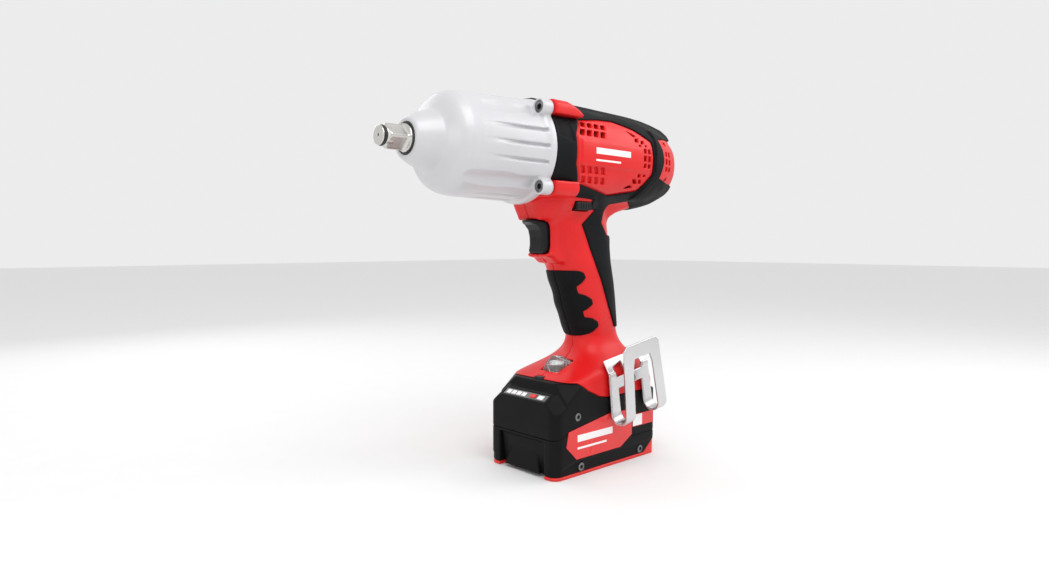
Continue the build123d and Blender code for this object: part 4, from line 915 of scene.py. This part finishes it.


# ---------------------------------------------------------------- springs
def build_spring(name, node, body):
    """Copy of a coil, carried by its body."""
    source = frame["nodes"][node]
    mesh = source.data.copy()
    mesh.transform(source.matrix_world)
    obj = bpy.data.objects.new(name, mesh)
    bpy.context.scene.collection.objects.link(obj)
    dress(obj, body, [node], M["spring_steel"])
    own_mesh(obj)


build_spring("recoil_coil", "hammer_spring", "hammer")
build_spring("latch_coil", "latch_spring", "battery_latch")


# ---------------------------------------------------------------- work light
def build_lens():
    """Faceted clear lens with a lamp behind it."""
    points = []
    for side in (1, -1):
        points += [
            (30.2, side * 2.6, 76.6), (29.4, side * 6.8, 75.6), (27.6, side * 4.8, 81.4),
            (24.4, side * 2.2, 85.6), (21.8, side * 6.6, 83.4), (12.4, side * 8.8, 80.2),
            (10.4, side * 3.2, 81.6), (10.8, side * 8.6, 73.0), (29.4, side * 8.2, 73.0),
            (17.0, side * 3.4, 85.0), (23.6, side * 8.8, 78.4),
        ]
    bm = bmesh.new()
    verts = [bm.verts.new(Vector(p) * MM) for p in points]
    bmesh.ops.convex_hull(bm, input=verts)
    loose = [v for v in bm.verts if not v.link_faces]
    bmesh.ops.delete(bm, geom=loose, context="VERTS")
    bmesh.ops.dissolve_limit(bm, angle_limit=0.05, verts=bm.verts, edges=bm.edges)
    bmesh.ops.recalc_face_normals(bm, faces=bm.faces)
    bmesh.ops.bevel(bm, geom=list(bm.edges), offset=0.3 * MM, segments=2, affect="EDGES")
    mesh = bpy.data.meshes.new("lens")
    bm.to_mesh(mesh)
    bm.free()
    obj = bpy.data.objects.new("lamp_lens", mesh)
    bpy.context.scene.collection.objects.link(obj)
    dress(obj, "housing", ["led_lens"], M["lens_clear"])
    g = Grid((14.0, -7.0, 71.6), (32.0, 7.0, 80.6), 0.3)
    d = np.sqrt((g.x - 23.0) ** 2 + g.y**2)
    bowl = np.abs(d - (2.6 + 0.55 * (g.z - 73.0))) - 0.45
    bowl = smax(bowl, slab(g.z, 72.9, 79.2), 0.3)
    piece("lamp_bowl", g, bowl, "housing", [], M["bright_steel"])
    lamp = smax(np.sqrt((g.x - 23.0) ** 2 + g.y**2 + (g.z - 74.6) ** 2) - 2.1, 72.4 - g.z, 0.3)
    piece("lamp_bead", g, lamp, "housing", [], M["lamp"])


build_lens()

# ---------------------------------------------------------------- stage, light and camera
def build_stage():
    bpy.context.scene.view_settings.view_transform = "Standard"
    bm = bmesh.new()
    bmesh.ops.create_grid(bm, x_segments=1, y_segments=1, size=6.0)
    mesh = bpy.data.meshes.new("floor")
    bm.to_mesh(mesh)
    bm.free()
    floor = bpy.data.objects.new("floor", mesh)
    bpy.context.scene.collection.objects.link(floor)
    floor.location.z = -0.0001
    mesh.materials.append(material("floor_paper", (0.84, 0.84, 0.84), 0.9, vary=0.005))

    world = bpy.data.worlds.new("studio")
    bpy.context.scene.world = world
    world.use_nodes = True
    back = world.node_tree.nodes["Background"]
    back.inputs["Color"].default_value = (1.0, 1.0, 1.0, 1.0)
    back.inputs["Strength"].default_value = 0.84
    target = Vector((0.03, 0.0, 0.15))
    for place, size, power in (
        ((0.25, 0.55, 1.00), 0.7, 4.6),
        ((1.0, 0.15, 0.40), 0.4, 0.6),
        ((-0.7, 0.45, 0.7), 0.5, 2.0),
        ((0.1, -0.9, 0.6), 0.6, 1.5),
    ):
        data = bpy.data.lights.new("soft", "AREA")
        data.size, data.energy = size, power
        lamp = bpy.data.objects.new("soft", data)
        bpy.context.scene.collection.objects.link(lamp)
        lamp.location = place
        lamp.rotation_euler = (target - Vector(place)).to_track_quat("-Z", "Y").to_euler()


build_stage()


def build_camera():
    eye, aim = Vector((0.42631, 0.40015, 0.17387)), Vector((0.05624, 0.0, 0.14238))
    data = bpy.data.cameras.new("camera")
    data.sensor_width, data.lens = 36.0, 24.71
    data.clip_start, data.clip_end = 0.01, 50.0
    camera = bpy.data.objects.new("camera", data)
    bpy.context.scene.collection.objects.link(camera)
    camera.location = eye
    camera.rotation_euler = (aim - eye).to_track_quat("-Z", "Y").to_euler()
    bpy.context.scene.camera = camera


build_camera()
